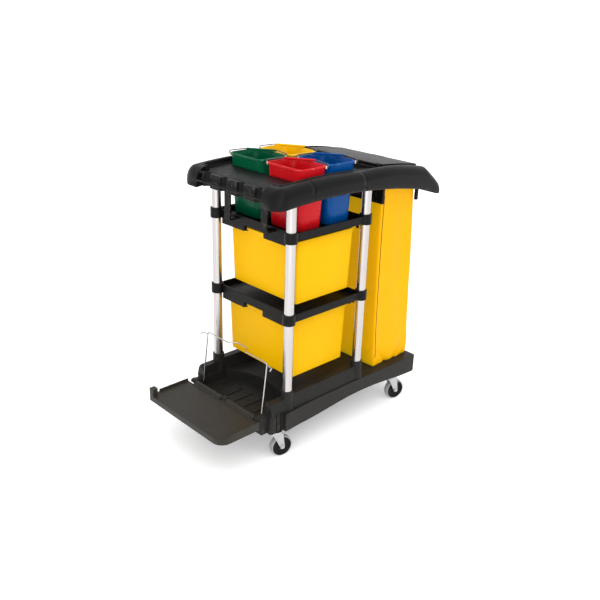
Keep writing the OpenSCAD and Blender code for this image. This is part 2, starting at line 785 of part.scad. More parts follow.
// Bin under the shelf whose collars begin at z, with its middle at y
module bin(z, y) color(bin_yellow) in_frame() translate([bin_x, y, z - bin_drop - bin_h]) {
    lip_l = bin_w - 2 * bin_corner;
    difference() {
        taper(bin_l, bin_w, bin_draft, bin_h, bin_corner);
        translate([0, 0, bin_wall])
            taper(bin_l - 2 * bin_wall, bin_w - 2 * bin_wall, bin_draft, bin_h, bin_corner - bin_wall);
    }
    // Lips at both ends, each over a sloping flare
    for (end = [0, 1]) mirror([end, 0, 0]) translate([bin_l / 2, lip_l / 2, bin_h - lip_t]) rotate([90, 0, 0])
        linear_extrude(lip_l) polygon([[-bin_wall, -lip_flare], [flare_reach, 0], [lip_reach, 0],
            [lip_reach, lip_t], [-bin_wall / 2, lip_t], [-bin_wall, 0]]);
}

// Pails and their handles

// Middle of the corner that carries a pivot, and the distances along the pivot line to the lug and handle
pivot_in = [pail_l / 2 - pail_corner, pail_corner - pail_w / 2];
pivot_turn = atan2(pivot_in[1], pivot_in[0]);
lug_out = norm(pivot_in) + pail_corner + pail_rim + pivot_rise;
handle_line = lug_out + bush_l + handle_step + handle_d / 2;

// Turns +Z along the pivot line of a pail, towards each of its two pivots
module each_pivot() for (half = [0, 180]) translate([0, 0, pail_h - pivot_drop])
    rotate([0, 90, pivot_turn + half]) children();
module at_pail(i) in_frame() translate([pails[i][0], pails[i][1], pail_z]) children();

module pail(i, tint) color(tint) at_pail(i) difference() {
    union() {
        taper(pail_l, pail_w, pail_draft, pail_h, pail_corner);
        translate([0, 0, pail_h - pail_rim_h])
            slab(pail_l + 2 * pail_rim, pail_w + 2 * pail_rim, pail_corner + pail_rim, 0, pail_rim_h);
        each_pivot() translate([0, 0, lug_out - pivot_lug]) cylinder(d = bush_d, h = pivot_lug);
    }
    translate([0, 0, pail_wall])
        taper(pail_l - 2 * pail_wall, pail_w - 2 * pail_wall, pail_draft, pail_h, pail_corner - pail_wall);
}

module bushes(i) color(cream) at_pail(i) each_pivot() translate([0, 0, lug_out]) difference() {
    cylinder(d = bush_d, h = bush_l);
    translate([0, 0, -eps]) cylinder(r = handle_d / 2 + run_fit, h = bush_l + 2 * eps);
}

// A handle's frame, with X along the pivot line and Y towards the side on which the handle lies
module at_handle(i) at_pail(i) translate([0, 0, pail_h - pivot_drop]) rotate([0, 0, pivot_turn]) children();
function handle_half() = let (l = handle_line, s = handle_flat / 2, h = handle_rise, d = handle_d)
    [[l, 0, 0], [l, d / 4, h / 2], [l - d / 2, d, 0.75 * h], [l - 2 * d, 3 * d, 0.85 * h],
        [s + d, handle_reach - 1.5 * d, h], [s, handle_reach, h]];
function handle_path() = let (p = handle_half()) concat(p, [for (q = back(p)) [-q[0], q[1], q[2]]]);
module handle(i) color(bright) {
    at_handle(i) wire(handle_path(), handle_d);
    at_pail(i) each_pivot() {
        translate([0, 0, lug_out + face_gap]) cylinder(d = handle_d, h = handle_line - lug_out - face_gap);
        translate([0, 0, handle_line]) wire_knee(handle_d);
    }
}
// Tube on the handle's straight part
module grip(i, tint) color(tint) at_handle(i) translate([0, handle_reach, handle_rise]) rotate([0, 90, 0])
    difference() {
        cylinder(d = tube_d, h = tube_l, center = true);
        cylinder(r = handle_d / 2 + post_fit, h = tube_l + eps, center = true);
    }

// Top tray

// Height of the arch's rim line, and of the top skin with the rolled front edge
function arch(x) = crown_z - pow(x - crown_back, 2) / (2 * crown_r)
    - (x > droop_x ? tail_droop * pow((x - droop_x) / (tail_x - droop_x), 2) : 0);
function round_in(r, d) = d < r ? r - sqrt(max(0, r * r - (r - d) * (r - d))) : 0;
function top_skin(x, t) = arch(x) - t - round_in(front_roll - t, x - tray_front - t);
function tray_half(x, t) = tray_w / 2 - t - round_in(tray_corner - t, x - tray_front - t)
    - round_in(tail_corner - t, tail_x - t - x);
function stations(t) = let (x0 = tray_front + tray_corner, x1 = tail_x - tail_corner, n = 13) concat(
    [for (a = [0:15:90]) x0 - (tray_corner - t) * cos(a)], [for (k = [1:n]) x0 + (lid_rear - x0) * k / n],
    [rim_x, rim_x + rim_gap], [for (a = [90:-30:0]) x1 + (tail_corner - t) * cos(a)]);
// Height of the side rims over the arch, highest at the lid's rear edge
function rim(x) = x < rim_from ? 0
    : x < lid_rear ? rim_rise * (1 - pow((lid_rear - x) / (lid_rear - rim_from), 2))
    : rim_rise - (rim_rise + tail_fall) * (x - lid_rear) / (tail_x - lid_rear);
// The rims are solid: the inner skin follows them only where they fall below the arch
function section_half(x, t) = let (w = tray_half(x, t), top = top_skin(x, t), sw = shoulder_w - t,
    sh = shoulder_h - t, crest = top + (t > 0 ? min(0, rim(x)) : rim(x)))
    concat([[x, w, arch(x) - skirt_h]],
        [for (a = [0:22.5:90]) [x, w - sw * (1 - cos(a)), crest - sh * (1 - sin(a))]],
        [[x, w - sw - rim_slope, x > rim_x ? crest : min(crest, top)]]);
function section(x, t) = let (h = section_half(x, t)) concat([for (p = h) [p[0], -p[1], p[2]]], back(h));

// Shell of the tray, open below: an outer and an inner skin joined along their lower edges
module tray_shell() {
    outer = [for (x = stations(0)) section(x, 0)];
    inner = [for (x = stations(tray_wall)) section(x, tray_wall)];
    n = len(outer);
    m = len(outer[0]);
    in = n * m;
    last = (n - 1) * m;
    skins = [for (i = [0:n - 2]) for (j = [0:m - 2]) let (a = i * m + j, b = a + m) each [
        [a, a + 1, b + 1], [a, b + 1, b], [in + a, in + b + 1, in + a + 1], [in + a, in + b, in + b + 1]]];
    edges = [for (i = [0:n - 2]) let (a = i * m, b = a + m, c = a + m - 1, d = c + m) each [
        [a, b, in + b], [a, in + b, in + a], [in + c, in + d, d], [in + c, d, c]]];
    ends = [[for (j = [m - 1:-1:0]) j], [for (j = [0:m - 1]) in + j],
        [0, in, in + m - 1], [0, in + m - 1, m - 1],
        [for (j = [0:m - 1]) last + j], [for (j = [m - 1:-1:0]) in + last + j],
        [in + last, last, last + m - 1], [in + last, last + m - 1, in + last + m - 1]];
    polyhedron(concat(flat(outer), flat(inner)), concat(skins, edges, ends));
}

// Points at depth d below the arch between x0 and x1
function arch_line(x0, x1, d, n = 12) = [for (k = [0:n]) let (x = x0 + (x1 - x0) * k / n) [x, arch(x) - d]];
module arch_band(x0, x1, d0, d1, y0, y1) band(arch_line(x0, x1, d0), arch_line(x0, x1, d1), y0, y1);

pan_half = tray_w / 2 - shoulder_w - pan_margin;
pan_low = pan_depth + pan_t;
// Front edge of the pan's floor
pan_edge = pan_front - pan_t;
// Inset of a pail where it passes the pan's floor, and the well that clears all four pails there
pass_inset = pail_draft * (1 - (crown_z - pan_depth - pail_z) / pail_h);
well_l = pail_pitch_x + pail_l - 2 * pass_inset + 2 * well_gap;
well_w = pail_pitch_y + pail_w - 2 * pass_inset + 2 * well_gap;

rod_x = lid_front + rod_back;
rod_z = arch(rod_x) + rod_rise;
lid_knuckle = lid_rod_d / 2 + lid_knuckle_wall;
// Ends across the cart of the tray's hinge lugs
lid_lugs = [[-lid_lug_mid / 2, lid_lug_mid / 2], [lid_w / 2 - lid_lug_w, lid_w / 2],
    [-lid_w / 2, lid_lug_w - lid_w / 2]];

// Floor and walls of the pan, with the well cut out
module pan() {
    x1 = pan_rear + pan_t;
    outer = pan_half + pan_t;
    difference() {
        arch_band(pan_edge, x1, pan_depth, pan_low, -outer, outer);
        translate([pail_x, 0, 0])
            slab(well_l, well_w, pail_corner + well_gap, crown_z - 2 * skirt_h, 3 * skirt_h);
    }
    both_sides() {
        arch_band(pan_edge, x1, eps, pan_low, pan_half, outer);
        arch_band(pan_edge, pan_front, eps, pan_low, front_gap / 2, outer);
    }
    arch_band(pan_rear, x1, eps, pan_low, -outer, outer);
}

// Wall that closes the right front corner beside the front bar
module corner_end() {
    t = tray_wall / 2;
    line = [for (k = [0:8]) tray_front + t + (pan_front - tray_front - t) * k / 8];
    band([for (x = line) [x, top_skin(x, t)]], [for (x = line) [x, arch(x) - skirt_h + eps]],
        front_gap / 2, front_gap / 2 + tray_wall);
}

module top_tray() color(black) in_frame() difference() {
    union() {
        difference() {
            tray_shell();
            // Gap for the front bar, open top over the pan, and the mouth over the bag
            translate([tray_front - eps, -front_gap / 2, crown_z - 3 * skirt_h])
                cube([pan_front - tray_front + eps, front_gap, 4 * skirt_h]);
            translate([pan_front, -pan_half, crown_z - skirt_h])
                cube([pan_rear - pan_front, 2 * pan_half, 2 * skirt_h]);
            translate([lid_front + mouth_end, mouth_side - lid_w / 2, crown_z - 3 * skirt_h])
                cube([lid_l - 2 * mouth_end, lid_w - 2 * mouth_side, 4 * skirt_h]);
        }
        pan();
        both_sides() corner_end();
        for (p = posts) translate([p[0], p[1], cap_z])
            cylinder(r = post_d / 2 + cap_wall, h = arch(p[0]) - pan_depth - pan_t / 2 - cap_z);
        for (l = lid_lugs) {
            y_rod(rod_x, rod_z, lid_knuckle, l[0], l[1]);
            translate([rod_x - lid_knuckle, l[0], rod_z - rod_rise - tray_wall / 2])
                cube([2 * lid_knuckle, l[1] - l[0], rod_rise + tray_wall / 2]);
        }
    }
    for (p = posts) translate([p[0], p[1], cap_z - eps])
        cylinder(r = post_d / 2 + post_fit, h = post_cap + seat_gap + eps);
    y_rod(rod_x, rod_z, lid_rod_d / 2 + post_fit, -lid_w / 2 - eps, lid_w / 2 + eps);
}

// Bar along the front of the pan's floor, with notches that hold tool handles
module tool_grips() color(black) in_frame()
    translate([pan_edge - grip_t, 0, arch(pan_edge) - pan_depth - grip_h]) difference() {
        translate([0, seat_gap - front_gap / 2, 0]) cube([grip_t, front_gap - 2 * seat_gap, grip_h]);
        for (k = [0:grip_count - 1]) translate([0, (k - (grip_count - 1) / 2) * grip_pitch, -eps])
            cylinder(d = grip_d, h = grip_h + 2 * eps);
    }

// Straps between the pan and the front of the upper shelf
module front_brackets() color(black) in_frame() both_sides() {
    foot = collar_up_z + collar_h - band_high - strap_drop;
    top = arch(-strap_ahead) - pan_low - seat_gap;
    translate([-strap_ahead, (strap_pitch - strap_w) / 2, foot]) {
        cube([strap_t, strap_w, top - foot]);
        cube([shelf_x0 + strap_ahead, strap_w, strap_t]);
    }
}

// Bag, its frame and lid

frame_z = crown_z - frame_drop;
frame_top = frame_z + frame_h;
bag_top = frame_top - bag_rim;
bag_foot = deck_top + seat_gap;
// Lean of the bag's rear face, which the frame's rear bar clears over its height
bag_lean = (bag_shift + bag_l_foot - bag_l_top) / (bag_top - bag_foot);
frame_in = bag_w / 2 + bag_fit;
frame_out = frame_in + frame_t;
frame_rear = bag_x + bag_l_top + bag_fit + frame_t * bag_lean;

module bag_frame() color(black) in_frame() {
    translate([frame_x, -frame_out, frame_z]) cube([frame_t, 2 * frame_out, frame_h]);
    translate([frame_rear, -frame_out, frame_top - frame_t]) cube([frame_t, 2 * frame_out, frame_t]);
    both_sides() {
        translate([frame_x, frame_in, frame_top - frame_t])
            cube([frame_rear + frame_t - frame_x, frame_t, frame_t]);
        // Hangers up to the tray, and a hook at the rear corner
        for (x = [frame_x, frame_rear]) translate([x, frame_in, frame_top - eps])
            cube([frame_t, frame_t, arch(x + frame_t) - tray_wall - seat_gap - frame_top + eps]);
        translate([frame_rear, frame_in, frame_z - frame_hook])
            cube([frame_t, frame_t, frame_h + frame_hook]);
    }
}

// Bag's shape between two levels, drawn in by t
module bag_body(t, z0, z1) hull() {
    translate([bag_x + bag_shift + bag_l_foot / 2, 0, 0])
        slab(bag_l_foot - 2 * t, bag_w - 2 * t, bag_corner - t, z0, slice);
    translate([bag_x + bag_l_top / 2, 0, 0])
        slab(bag_l_top - 2 * t, bag_w - 2 * t, bag_corner - t, z1 - slice, slice);
}

module bag() color(bin_yellow) in_frame() difference() {
    bag_body(0, bag_foot, bag_top);
    bag_body(bag_wall, bag_foot + bag_wall, bag_top + eps);
}

// Zip along the bag's front left corner
module bag_zip() color(black) in_frame() translate([bag_x, -frame_in - zip_t, 0]) hull() {
    translate([zip_foot, 0, deck_top + zip_low]) cube([zip_w, zip_t, slice]);
    translate([zip_head, 0, bag_top - zip_high]) cube([zip_w, zip_t, slice]);
}

// Points at depth d below the lid's upper face, which rises over the arch towards the rear
function lid_line(x0, x1, d, n = 12) = [for (k = [0:n]) let (x = x0 + (x1 - x0) * k / n)
    [x, arch(x) + lid_rise + lid_lift * (x - lid_front) / lid_l - d]];

module bag_lid() color(black) in_frame() difference() {
    skirt_x = rod_x + lid_skirt_back;
    rear_x = lid_rear - lid_t;
    union() {
        band(lid_line(rod_x, lid_rear, 0), lid_line(rod_x, lid_rear, lid_t), -lid_w / 2, lid_w / 2);
        both_sides() band(lid_line(skirt_x, lid_rear, eps), arch_line(skirt_x, lid_rear, -lid_skirt_gap),
            lid_w / 2 - lid_t, lid_w / 2);
        band(lid_line(rear_x, lid_rear, eps), arch_line(rear_x, lid_rear, -lid_skirt_gap),
            -lid_w / 2, lid_w / 2);
        y_rod(rod_x, rod_z, lid_knuckle, -lid_w / 2, lid_w / 2);
        // Finger tab on the rear edge
        band(lid_line(rear_x, lid_rear + tab_l, 0), lid_line(rear_x, lid_rear + tab_l, lid_t),
            -tab_w / 2, tab_w / 2);
    }
    // Room for the tray's lugs
    for (l = lid_lugs) translate([rod_x - 2 * lid_knuckle, l[0] - face_gap, rod_z - 2 * lid_knuckle])
        cube([4 * lid_knuckle, l[1] - l[0] + 2 * face_gap, 4 * lid_knuckle]);
    y_rod(rod_x, rod_z, lid_rod_d / 2 + run_fit, -lid_w / 2 - eps, lid_w / 2 + eps);
}

module lid_rod() color(bright) in_frame() y_rod(rod_x, rod_z, lid_rod_d / 2, -lid_w / 2, lid_w / 2);

// Platform

platform_z = deck_top - platform_h;
platform_rear = hinge_x - knuckle_d / 2 - platform_gap;
// Outline of the platform, drawn in by t, with its front right corner square
function platform_outline(t) = let (y = platform_w / 2 - t, r = platform_corner) concat(
    [[platform_rear - t, y], [platform_front + t, y]],
    arc(platform_front + r, r - platform_w / 2, r - t, 180, 270, 6), [[platform_rear - t, -y]]);

// Long knuckle of the right side, on an arm from the platform's rear wall
module platform_knuckle() {
    y0 = lug_w / 2 + knuckle_gap;
    y1 = lug_y - lug_w / 2 - knuckle_gap;
    y_rod(hinge_x, hinge_z, knuckle_d / 2, y0, y1);
    translate([platform_rear - platform_wall, y0, hinge_z - knuckle_d / 2])
        cube([hinge_x - platform_rear + platform_wall, y1 - y0, knuckle_d / 2]);
}

module platform() color(black) in_frame() difference() {
    union() {
        difference() {
            translate([0, 0, platform_z]) linear_extrude(platform_floor) polygon(platform_outline(0));
            translate([0, 0, platform_z - eps]) linear_extrude(platform_floor - platform_wall + eps)
                polygon(platform_outline(platform_wall));
        }
        both_sides() {
            platform_knuckle();
            // Lip along the side
            translate([platform_front + platform_corner, platform_w / 2 - platform_wall, platform_z])
                cube([platform_rear - platform_front - platform_corner, platform_wall, platform_h]);
        }
        translate([platform_front, platform_w / 2 - nub_w, platform_z])
            cube([nub_w, nub_w, platform_h + nub_rise]);
    }
    y_rod(hinge_x, hinge_z, hinge_d / 2 + run_fit, -platform_w / 2, platform_w / 2);
}

module platform_rod() color(bright) in_frame() y_rod(hinge_x, hinge_z, hinge_d / 2, -hinge_half, hinge_half);

// Wire bail

// Right half of the bail in its own plane: x the crank's depth, y across, z up the legs
function bail_half() = let (w = bail_w / 2, c = crank_w / 2) concat(
    [[0, w, 0]],
    [for (p = arc(w - bail_bend, bail_h - bail_bend, bail_bend, 0, 90, 3)) [0, p[0], p[1]]],
    [[0, c + crank_slope, bail_h], [crank_depth, c, bail_h]]);
function bail_path() = let (h = bail_half()) concat(h, [for (p = back(h)) [p[0], -p[1], p[2]]]);
// Hook past the right leg, with its tip turned down and forward
function hook_path() = let (y = bail_w / 2 + bail_hook, z = bail_h - bail_bend)
    [[0, bail_w / 2 - bail_d / 4, z], [0, y - bail_d, z],
        [-bail_d, y, z - bail_d / 2], [-2 * bail_d, y, z - hook_tip]];

module bail() color(bright) in_frame() translate([bail_x, 0, bail_z]) {
    rotate([0, bail_lean, 0]) {
        wire(bail_path(), bail_d);
        both_sides() {
            translate([0, bail_w / 2, 0]) wire_knee(bail_d);
            wire(hook_path(), bail_d);
        }
    }
    both_sides() y_rod(0, 0, bail_d / 2, bail_w / 2, recess_w / 2 + bail_pin - face_gap);
}

// Casters

axle_z = wheel_d / 2;
plate_r = kingpin_d / 2 + plate_margin;
head_top = deck_base - plate_t - face_gap;
fork_top = head_top - head_h;
nut_z = fork_top - fork_t - face_gap - nut_h;
leg_y = wheel_w / 2 + wheel_gap;
fork_half = leg_y + fork_t;
fork_rear = fork_front + caster_trail / 2;
wheel_r = wheel_d / 2 - tyre_t;
hub_r = axle_d / 2 + hub_wall;

module at_caster(i) in_frame() translate([casters[i][0], casters[i][1], 0]) rotate([0, 0, caster_turn])
    children();
// A wheel's middle, with its axis along Z
module at_wheel(i) at_caster(i) translate([caster_trail, 0, axle_z]) rotate([90, 0, 0]) children();

module kingpin(i) color(bright) at_caster(i) {
    translate([0, 0, deck_base - plate_t]) cylinder(r = plate_r, h = plate_t);
    translate([0, 0, nut_z]) cylinder(d = kingpin_d, h = deck_base + kingpin_seat - seat_gap - nut_z);
    translate([0, 0, nut_z]) cylinder(r = kingpin_d / 2 + nut_margin, h = nut_h, $fn = 6);
}

module fork(i) color(bright) at_caster(i) difference() {
    union() {
        translate([0, 0, fork_top]) cylinder(r = plate_r - eps, h = head_h);
        translate([-fork_front, -fork_half, fork_top - fork_t])
            cube([fork_front + fork_rear, 2 * fork_half, fork_t + eps]);
        both_sides() translate([0, fork_half, 0]) rotate([90, 0, 0]) linear_extrude(fork_t) {
            polygon([[-fork_front, fork_top], [fork_rear, fork_top], [caster_trail + axle_d, axle_z],
                [caster_trail - axle_d, axle_z]]);
            translate([caster_trail, axle_z]) circle(r = axle_d);
        }
    }
    translate([0, 0, fork_top - fork_t - eps])
        cylinder(r = kingpin_d / 2 + run_fit, h = head_h + fork_t + 2 * eps);
    y_rod(caster_trail, axle_z, axle_d / 2 + post_fit, -fork_half - eps, fork_half + eps);
}

module axle(i) color(bright) at_caster(i) {
    y_rod(caster_trail, axle_z, axle_d / 2, -fork_half, fork_half);
    both_sides()
        y_rod(caster_trail, axle_z, axle_d / 2 + axle_head_margin, fork_half, fork_half + axle_head_h);
}

module wheel(i) color(black) at_wheel(i) difference() {
    union() {
        cylinder(r = hub_r, h = 2 * leg_y - 2 * face_gap, center = true);
        cylinder(r = wheel_r, h = wheel_w, center = true);
    }
    for (side = [-1, 1]) translate([0, 0, side * wheel_w / 2]) difference() {
        cylinder(r = wheel_r - wheel_rim, h = 2 * wheel_dish, center = true);
        cylinder(r = hub_r, h = 2 * wheel_dish + eps, center = true);
    }
    cylinder(r = axle_d / 2 + run_fit, h = 2 * fork_half, center = true);
}

module tyre(i) color("gray") at_wheel(i) rotate_extrude()
    let (x0 = wheel_r, x1 = wheel_d / 2, y = wheel_w / 2)
        polygon([[x0, -y], [x1 - tyre_bevel, -y], [x1, tyre_bevel - y],
            [x1, y - tyre_bevel], [x1 - tyre_bevel, y], [x0, y]]);

deck();
post(0);  // post_front_left
post(1);  // post_front_right
post(2);  // post_rear_left
post(3);  // post_rear_right
shelf(collar_mid_z);  // shelf_middle
shelf(collar_up_z);  // shelf_upper
bin_rails();
bin(collar_mid_z, bin_stagger);  // bin_lower
bin(collar_up_z, -bin_stagger);  // bin_upper
top_tray();
tool_grips();
front_brackets();
pail(0, "crimson");  // pail_red
pail(1, "darkgreen");  // pail_green
pail(2, "mediumblue");  // pail_blue
pail(3, "gold");  // pail_yellow
bushes(0);  // bushes_red
bushes(1);  // bushes_green
bushes(2);  // bushes_blue
bushes(3);  // bushes_yellow
handle(0);  // handle_red
handle(1);  // handle_green
handle(2);  // handle_blue
handle(3);  // handle_yellow
grip(0, "crimson");  // grip_red
grip(1, "darkgreen");  // grip_green
grip(2, "mediumblue");  // grip_blue
grip(3, "gold");  // grip_yellow
bag_frame();
bag();
bag_zip();
bag_lid();
lid_rod();
platform();
platform_rod();
bail();
kingpin(0);  // kingpin_front_left
kingpin(1);  // kingpin_front_right
kingpin(2);  // kingpin_rear_left
kingpin(3);  // kingpin_rear_right
fork(0);  // fork_front_left
fork(1);  // fork_front_right
fork(2);  // fork_rear_left
fork(3);  // fork_rear_right
axle(0);  // axle_front_left
axle(1);  // axle_front_right
axle(2);  // axle_rear_left
axle(3);  // axle_rear_right
wheel(0);  // wheel_front_left
wheel(1);  // wheel_front_right
wheel(2);  // wheel_rear_left
wheel(3);  // wheel_rear_right
tyre(0);  // tyre_front_left
tyre(1);  // tyre_front_right
tyre(2);  // tyre_rear_left
tyre(3);  // tyre_rear_right
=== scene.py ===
import json
import math

import bmesh
import bpy
from mathutils import Matrix, Vector, noise


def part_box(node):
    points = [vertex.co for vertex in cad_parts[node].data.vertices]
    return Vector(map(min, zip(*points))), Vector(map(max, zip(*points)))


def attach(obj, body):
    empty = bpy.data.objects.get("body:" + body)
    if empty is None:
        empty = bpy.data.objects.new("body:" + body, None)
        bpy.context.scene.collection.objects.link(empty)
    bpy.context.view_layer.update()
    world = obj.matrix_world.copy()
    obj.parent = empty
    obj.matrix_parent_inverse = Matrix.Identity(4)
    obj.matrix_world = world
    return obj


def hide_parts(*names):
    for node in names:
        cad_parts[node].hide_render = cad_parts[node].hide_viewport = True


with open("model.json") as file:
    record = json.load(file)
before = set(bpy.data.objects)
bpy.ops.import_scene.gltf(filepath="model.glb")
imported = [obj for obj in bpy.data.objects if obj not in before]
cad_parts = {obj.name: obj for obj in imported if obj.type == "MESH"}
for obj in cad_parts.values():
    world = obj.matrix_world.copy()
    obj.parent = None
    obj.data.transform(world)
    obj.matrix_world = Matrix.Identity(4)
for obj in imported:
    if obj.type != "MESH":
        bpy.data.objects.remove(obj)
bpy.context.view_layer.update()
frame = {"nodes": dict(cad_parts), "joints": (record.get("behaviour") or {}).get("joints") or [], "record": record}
nodes = frame["nodes"]
scene = bpy.context.scene
bodyOf = {node: body for body, members in frame["record"]["behaviour"]["bodies"].items() for node in members}
corners = ["front_left", "front_right", "rear_left", "rear_right"]
mm = 0.001
print("frame loaded with", len(nodes), "nodes")


# Camera, floor and light

camera = {"place": (-1.975, -2.059, 1.707), "azimuth": 44.27, "pitch": 22.48, "roll": 1.81, "lens": 44.59,
          "sensor": 36}


def setCamera():
    data = bpy.data.cameras.new("camera")
    data.sensor_width = camera["sensor"]
    data.lens = camera["lens"]
    obj = bpy.data.objects.new("camera", data)
    scene.collection.objects.link(obj)
    az, pitch, roll = (math.radians(camera[key]) for key in ("azimuth", "pitch", "roll"))
    ahead = Vector((math.sin(az) * math.cos(pitch), math.cos(az) * math.cos(pitch), -math.sin(pitch)))
    level = Vector((math.cos(az), -math.sin(az), 0))
    upright = level.cross(ahead)
    right = level * math.cos(roll) + upright * math.sin(roll)
    up = right.cross(ahead)
    turn = Matrix((right, up, -ahead)).transposed().to_4x4()
    obj.matrix_world = Matrix.Translation(camera["place"]) @ turn
    scene.camera = obj


studio = {"sky": 1.02, "floor": 0.93, "floorGlow": 0.26, "floorSize": 120, "sun": 0.75, "sunSpread": 50,
          "sunFrom": (-0.25, -0.45, 1.0), "keySize": 2.4, "keyPlace": (-2.7, -2.2, 1.5),
          "keyAim": (0, 0, 0.5), "keyPower": 30}


def areaLight(name, place, size, power):
    data = bpy.data.lights.new(name, "AREA")
    data.size = size
    data.energy = power
    obj = bpy.data.objects.new(name, data)
    obj.location = place
    obj.rotation_euler = (Vector(studio["keyAim"]) - Vector(place)).to_track_quat("-Z", "Y").to_euler()
    scene.collection.objects.link(obj)


def setStudio():
    world = bpy.data.worlds.new("studio")
    world.use_nodes = True
    world.node_tree.nodes["Background"].inputs["Color"].default_value = (1, 1, 1, 1)
    world.node_tree.nodes["Background"].inputs["Strength"].default_value = studio["sky"]
    scene.world = world
    scene.view_settings.view_transform = "Standard"
    areaLight("keyLight", studio["keyPlace"], studio["keySize"], studio["keyPower"])
    data = bpy.data.lights.new("evenLight", "SUN")
    data.energy = studio["sun"]
    data.angle = math.radians(studio["sunSpread"])
    sun = bpy.data.objects.new("evenLight", data)
    sun.rotation_euler = Vector(studio["sunFrom"]).to_track_quat("Z", "Y").to_euler()
    scene.collection.objects.link(sun)
    bm = bmesh.new()
    bmesh.ops.create_grid(bm, x_segments=4, y_segments=4, size=studio["floorSize"] / 2)
    mesh = bpy.data.meshes.new("floor")
    bm.to_mesh(mesh)
    bm.free()
    floor = bpy.data.objects.new("floor", mesh)
    scene.collection.objects.link(floor)
    paint = Paint("floorPaper")
    shade = studio["floor"]
    paint.give({"Base Color": (shade, shade, shade, 1), "Roughness": 0.9, "Emission Color": (1, 1, 1, 1),
                "Emission Strength": studio["floorGlow"]})
    mesh.materials.append(paint.material)


# Materials

class Level:                                    # wraps a socket, so that shader maths reads as maths
    def __init__(self, paint, socket):
        self.paint = paint
        self.socket = socket

    def __add__(self, other):
        return self.paint.maths("ADD", self, other)

    __radd__ = __add__

    def __sub__(self, other):
        return self.paint.maths("SUBTRACT", self, other)

    def __rsub__(self, other):
        return self.paint.maths("SUBTRACT", other, self)

    def __mul__(self, other):
        return self.paint.maths("MULTIPLY", self, other)

    __rmul__ = __mul__


class Paint:                                    # one procedural material on the Principled shader
    def __init__(self, name):
        self.material = bpy.data.materials.new(name)
        self.material.use_nodes = True
        self.tree = self.material.node_tree
        self.shader = self.tree.nodes["Principled BSDF"]
        self.place = self.node("ShaderNodeTexCoord", {}, {}, "Object")

    def feed(self, socket, value):
        if isinstance(value, Level):
            self.tree.links.new(value.socket, socket)
        else:
            socket.default_value = value

    def node(self, kind, settings, sockets, out=0):
        made = self.tree.nodes.new(kind)
        for key, value in settings.items():
            setattr(made, key, value)
        for key, value in sockets.items():
            self.feed(made.inputs[key], value)
        return Level(self, made.outputs[out])

    def maths(self, operation, a, b):
        return self.node("ShaderNodeMath", {"operation": operation}, {0: a, 1: b})

    def mix(self, share, a, b):                 # colours: a where share is 0, b where it is 1
        return self.node("ShaderNodeMix", {"data_type": "RGBA"}, {0: share, 6: a, 7: b}, 2)

    def stretched(self, scale):
        return self.node("ShaderNodeMapping", {}, {"Vector": self.place, "Scale": scale})

    def cloud(self, scale, detail=3, place=None):
        return self.node("ShaderNodeTexNoise", {},
                         {"Vector": place or self.place, "Scale": scale, "Detail": detail})

    def ramp(self, value, low, high):           # 0 below low, 1 above high
        return self.node("ShaderNodeMapRange", {"interpolation_type": "SMOOTHSTEP"},
                         {"Value": value, "From Min": low, "From Max": high})

    def wornEdges(self, low, high):
        return self.ramp(self.node("ShaderNodeNewGeometry", {}, {}, "Pointiness"), low, high)

    def bump(self, height, depth):
        return self.node("ShaderNodeBump", {}, {"Height": height, "Distance": depth, "Strength": 1.0})

    def give(self, sockets):
        for key, value in sockets.items():
            self.feed(self.shader.inputs[key], value)
        return self.material


def tint(r, g, b):                              # a colour given in the usual 0 to 255
    def linear(c):
        c = c / 255
        return c / 12.92 if c < 0.04045 else ((c + 0.055) / 1.055) ** 2.4
    return (linear(r), linear(g), linear(b), 1)


def mouldedPlastic(name, look):
    paint = Paint(name)
    clouds = paint.cloud(look["cloudScale"], 4)
    grain = paint.cloud(look["grainScale"], 2)
    rubs = paint.ramp(paint.cloud(look["rubScale"], 5), *look["rubs"])
    edge = paint.wornEdges(*look["edges"]) * rubs
    body = paint.mix(clouds, look["dark"], look["light"])
    colour = paint.mix(edge * look["wear"], body, look["worn"])
    return paint.give({
        "Base Color": colour,
        "Roughness": look["rough"] + look["cloudRough"] * (clouds - 0.5) + look["rubRough"] * (rubs - 0.5),
        "Normal": paint.bump(grain, look["grainDepth"]),
        "Specular IOR Level": look["gloss"]})


def brushedMetal(name, look):
    paint = Paint(name)
    streak = paint.cloud(1.0, 3, paint.stretched(look["streaks"]))
    clouds = paint.cloud(look["cloudScale"], 3)
    return paint.give({
        "Base Color": paint.mix(streak, look["dark"], look["light"]),
        "Metallic": 1.0,
        "Roughness": look["rough"] + look["streakRough"] * (streak - 0.5) + look["cloudRough"] * (clouds - 0.5),
        "Normal": paint.bump(streak, look["streakDepth"])})


def vinylSheet(name, look):
    paint = Paint(name)
    clouds = paint.cloud(look["cloudScale"], 4)
    grain = paint.node("ShaderNodeTexVoronoi", {"feature": "F1"},
                       {"Vector": paint.place, "Scale": look["grainScale"]})
    dust = paint.ramp(paint.cloud(look["dustScale"], 6), *look["dust"])
    colour = paint.mix(dust * look["dustShare"], paint.mix(clouds, look["dark"], look["light"]), look["dusty"])
    return paint.give({
        "Base Color": colour,
        "Roughness": look["rough"] + look["cloudRough"] * (clouds - 0.5) + look["dustRough"] * dust,
        "Normal": paint.bump(grain, look["grainDepth"]),
        "Specular IOR Level": look["gloss"],
        # painted light: a constant emission glow that brightens the sheet where it lies in shade
        "Emission Color": look["paintedGlowTint"], "Emission Strength": look["paintedGlowStrength"]})


def tyreRubber(name, look):
    paint = Paint(name)
    clouds = paint.cloud(look["cloudScale"], 5)
    grain = paint.cloud(look["grainScale"], 3)
    return paint.give({
        "Base Color": paint.mix(clouds, look["dark"], look["light"]),
        "Roughness": look["rough"] + look["cloudRough"] * (clouds - 0.5),
        "Normal": paint.bump(grain, look["grainDepth"])})


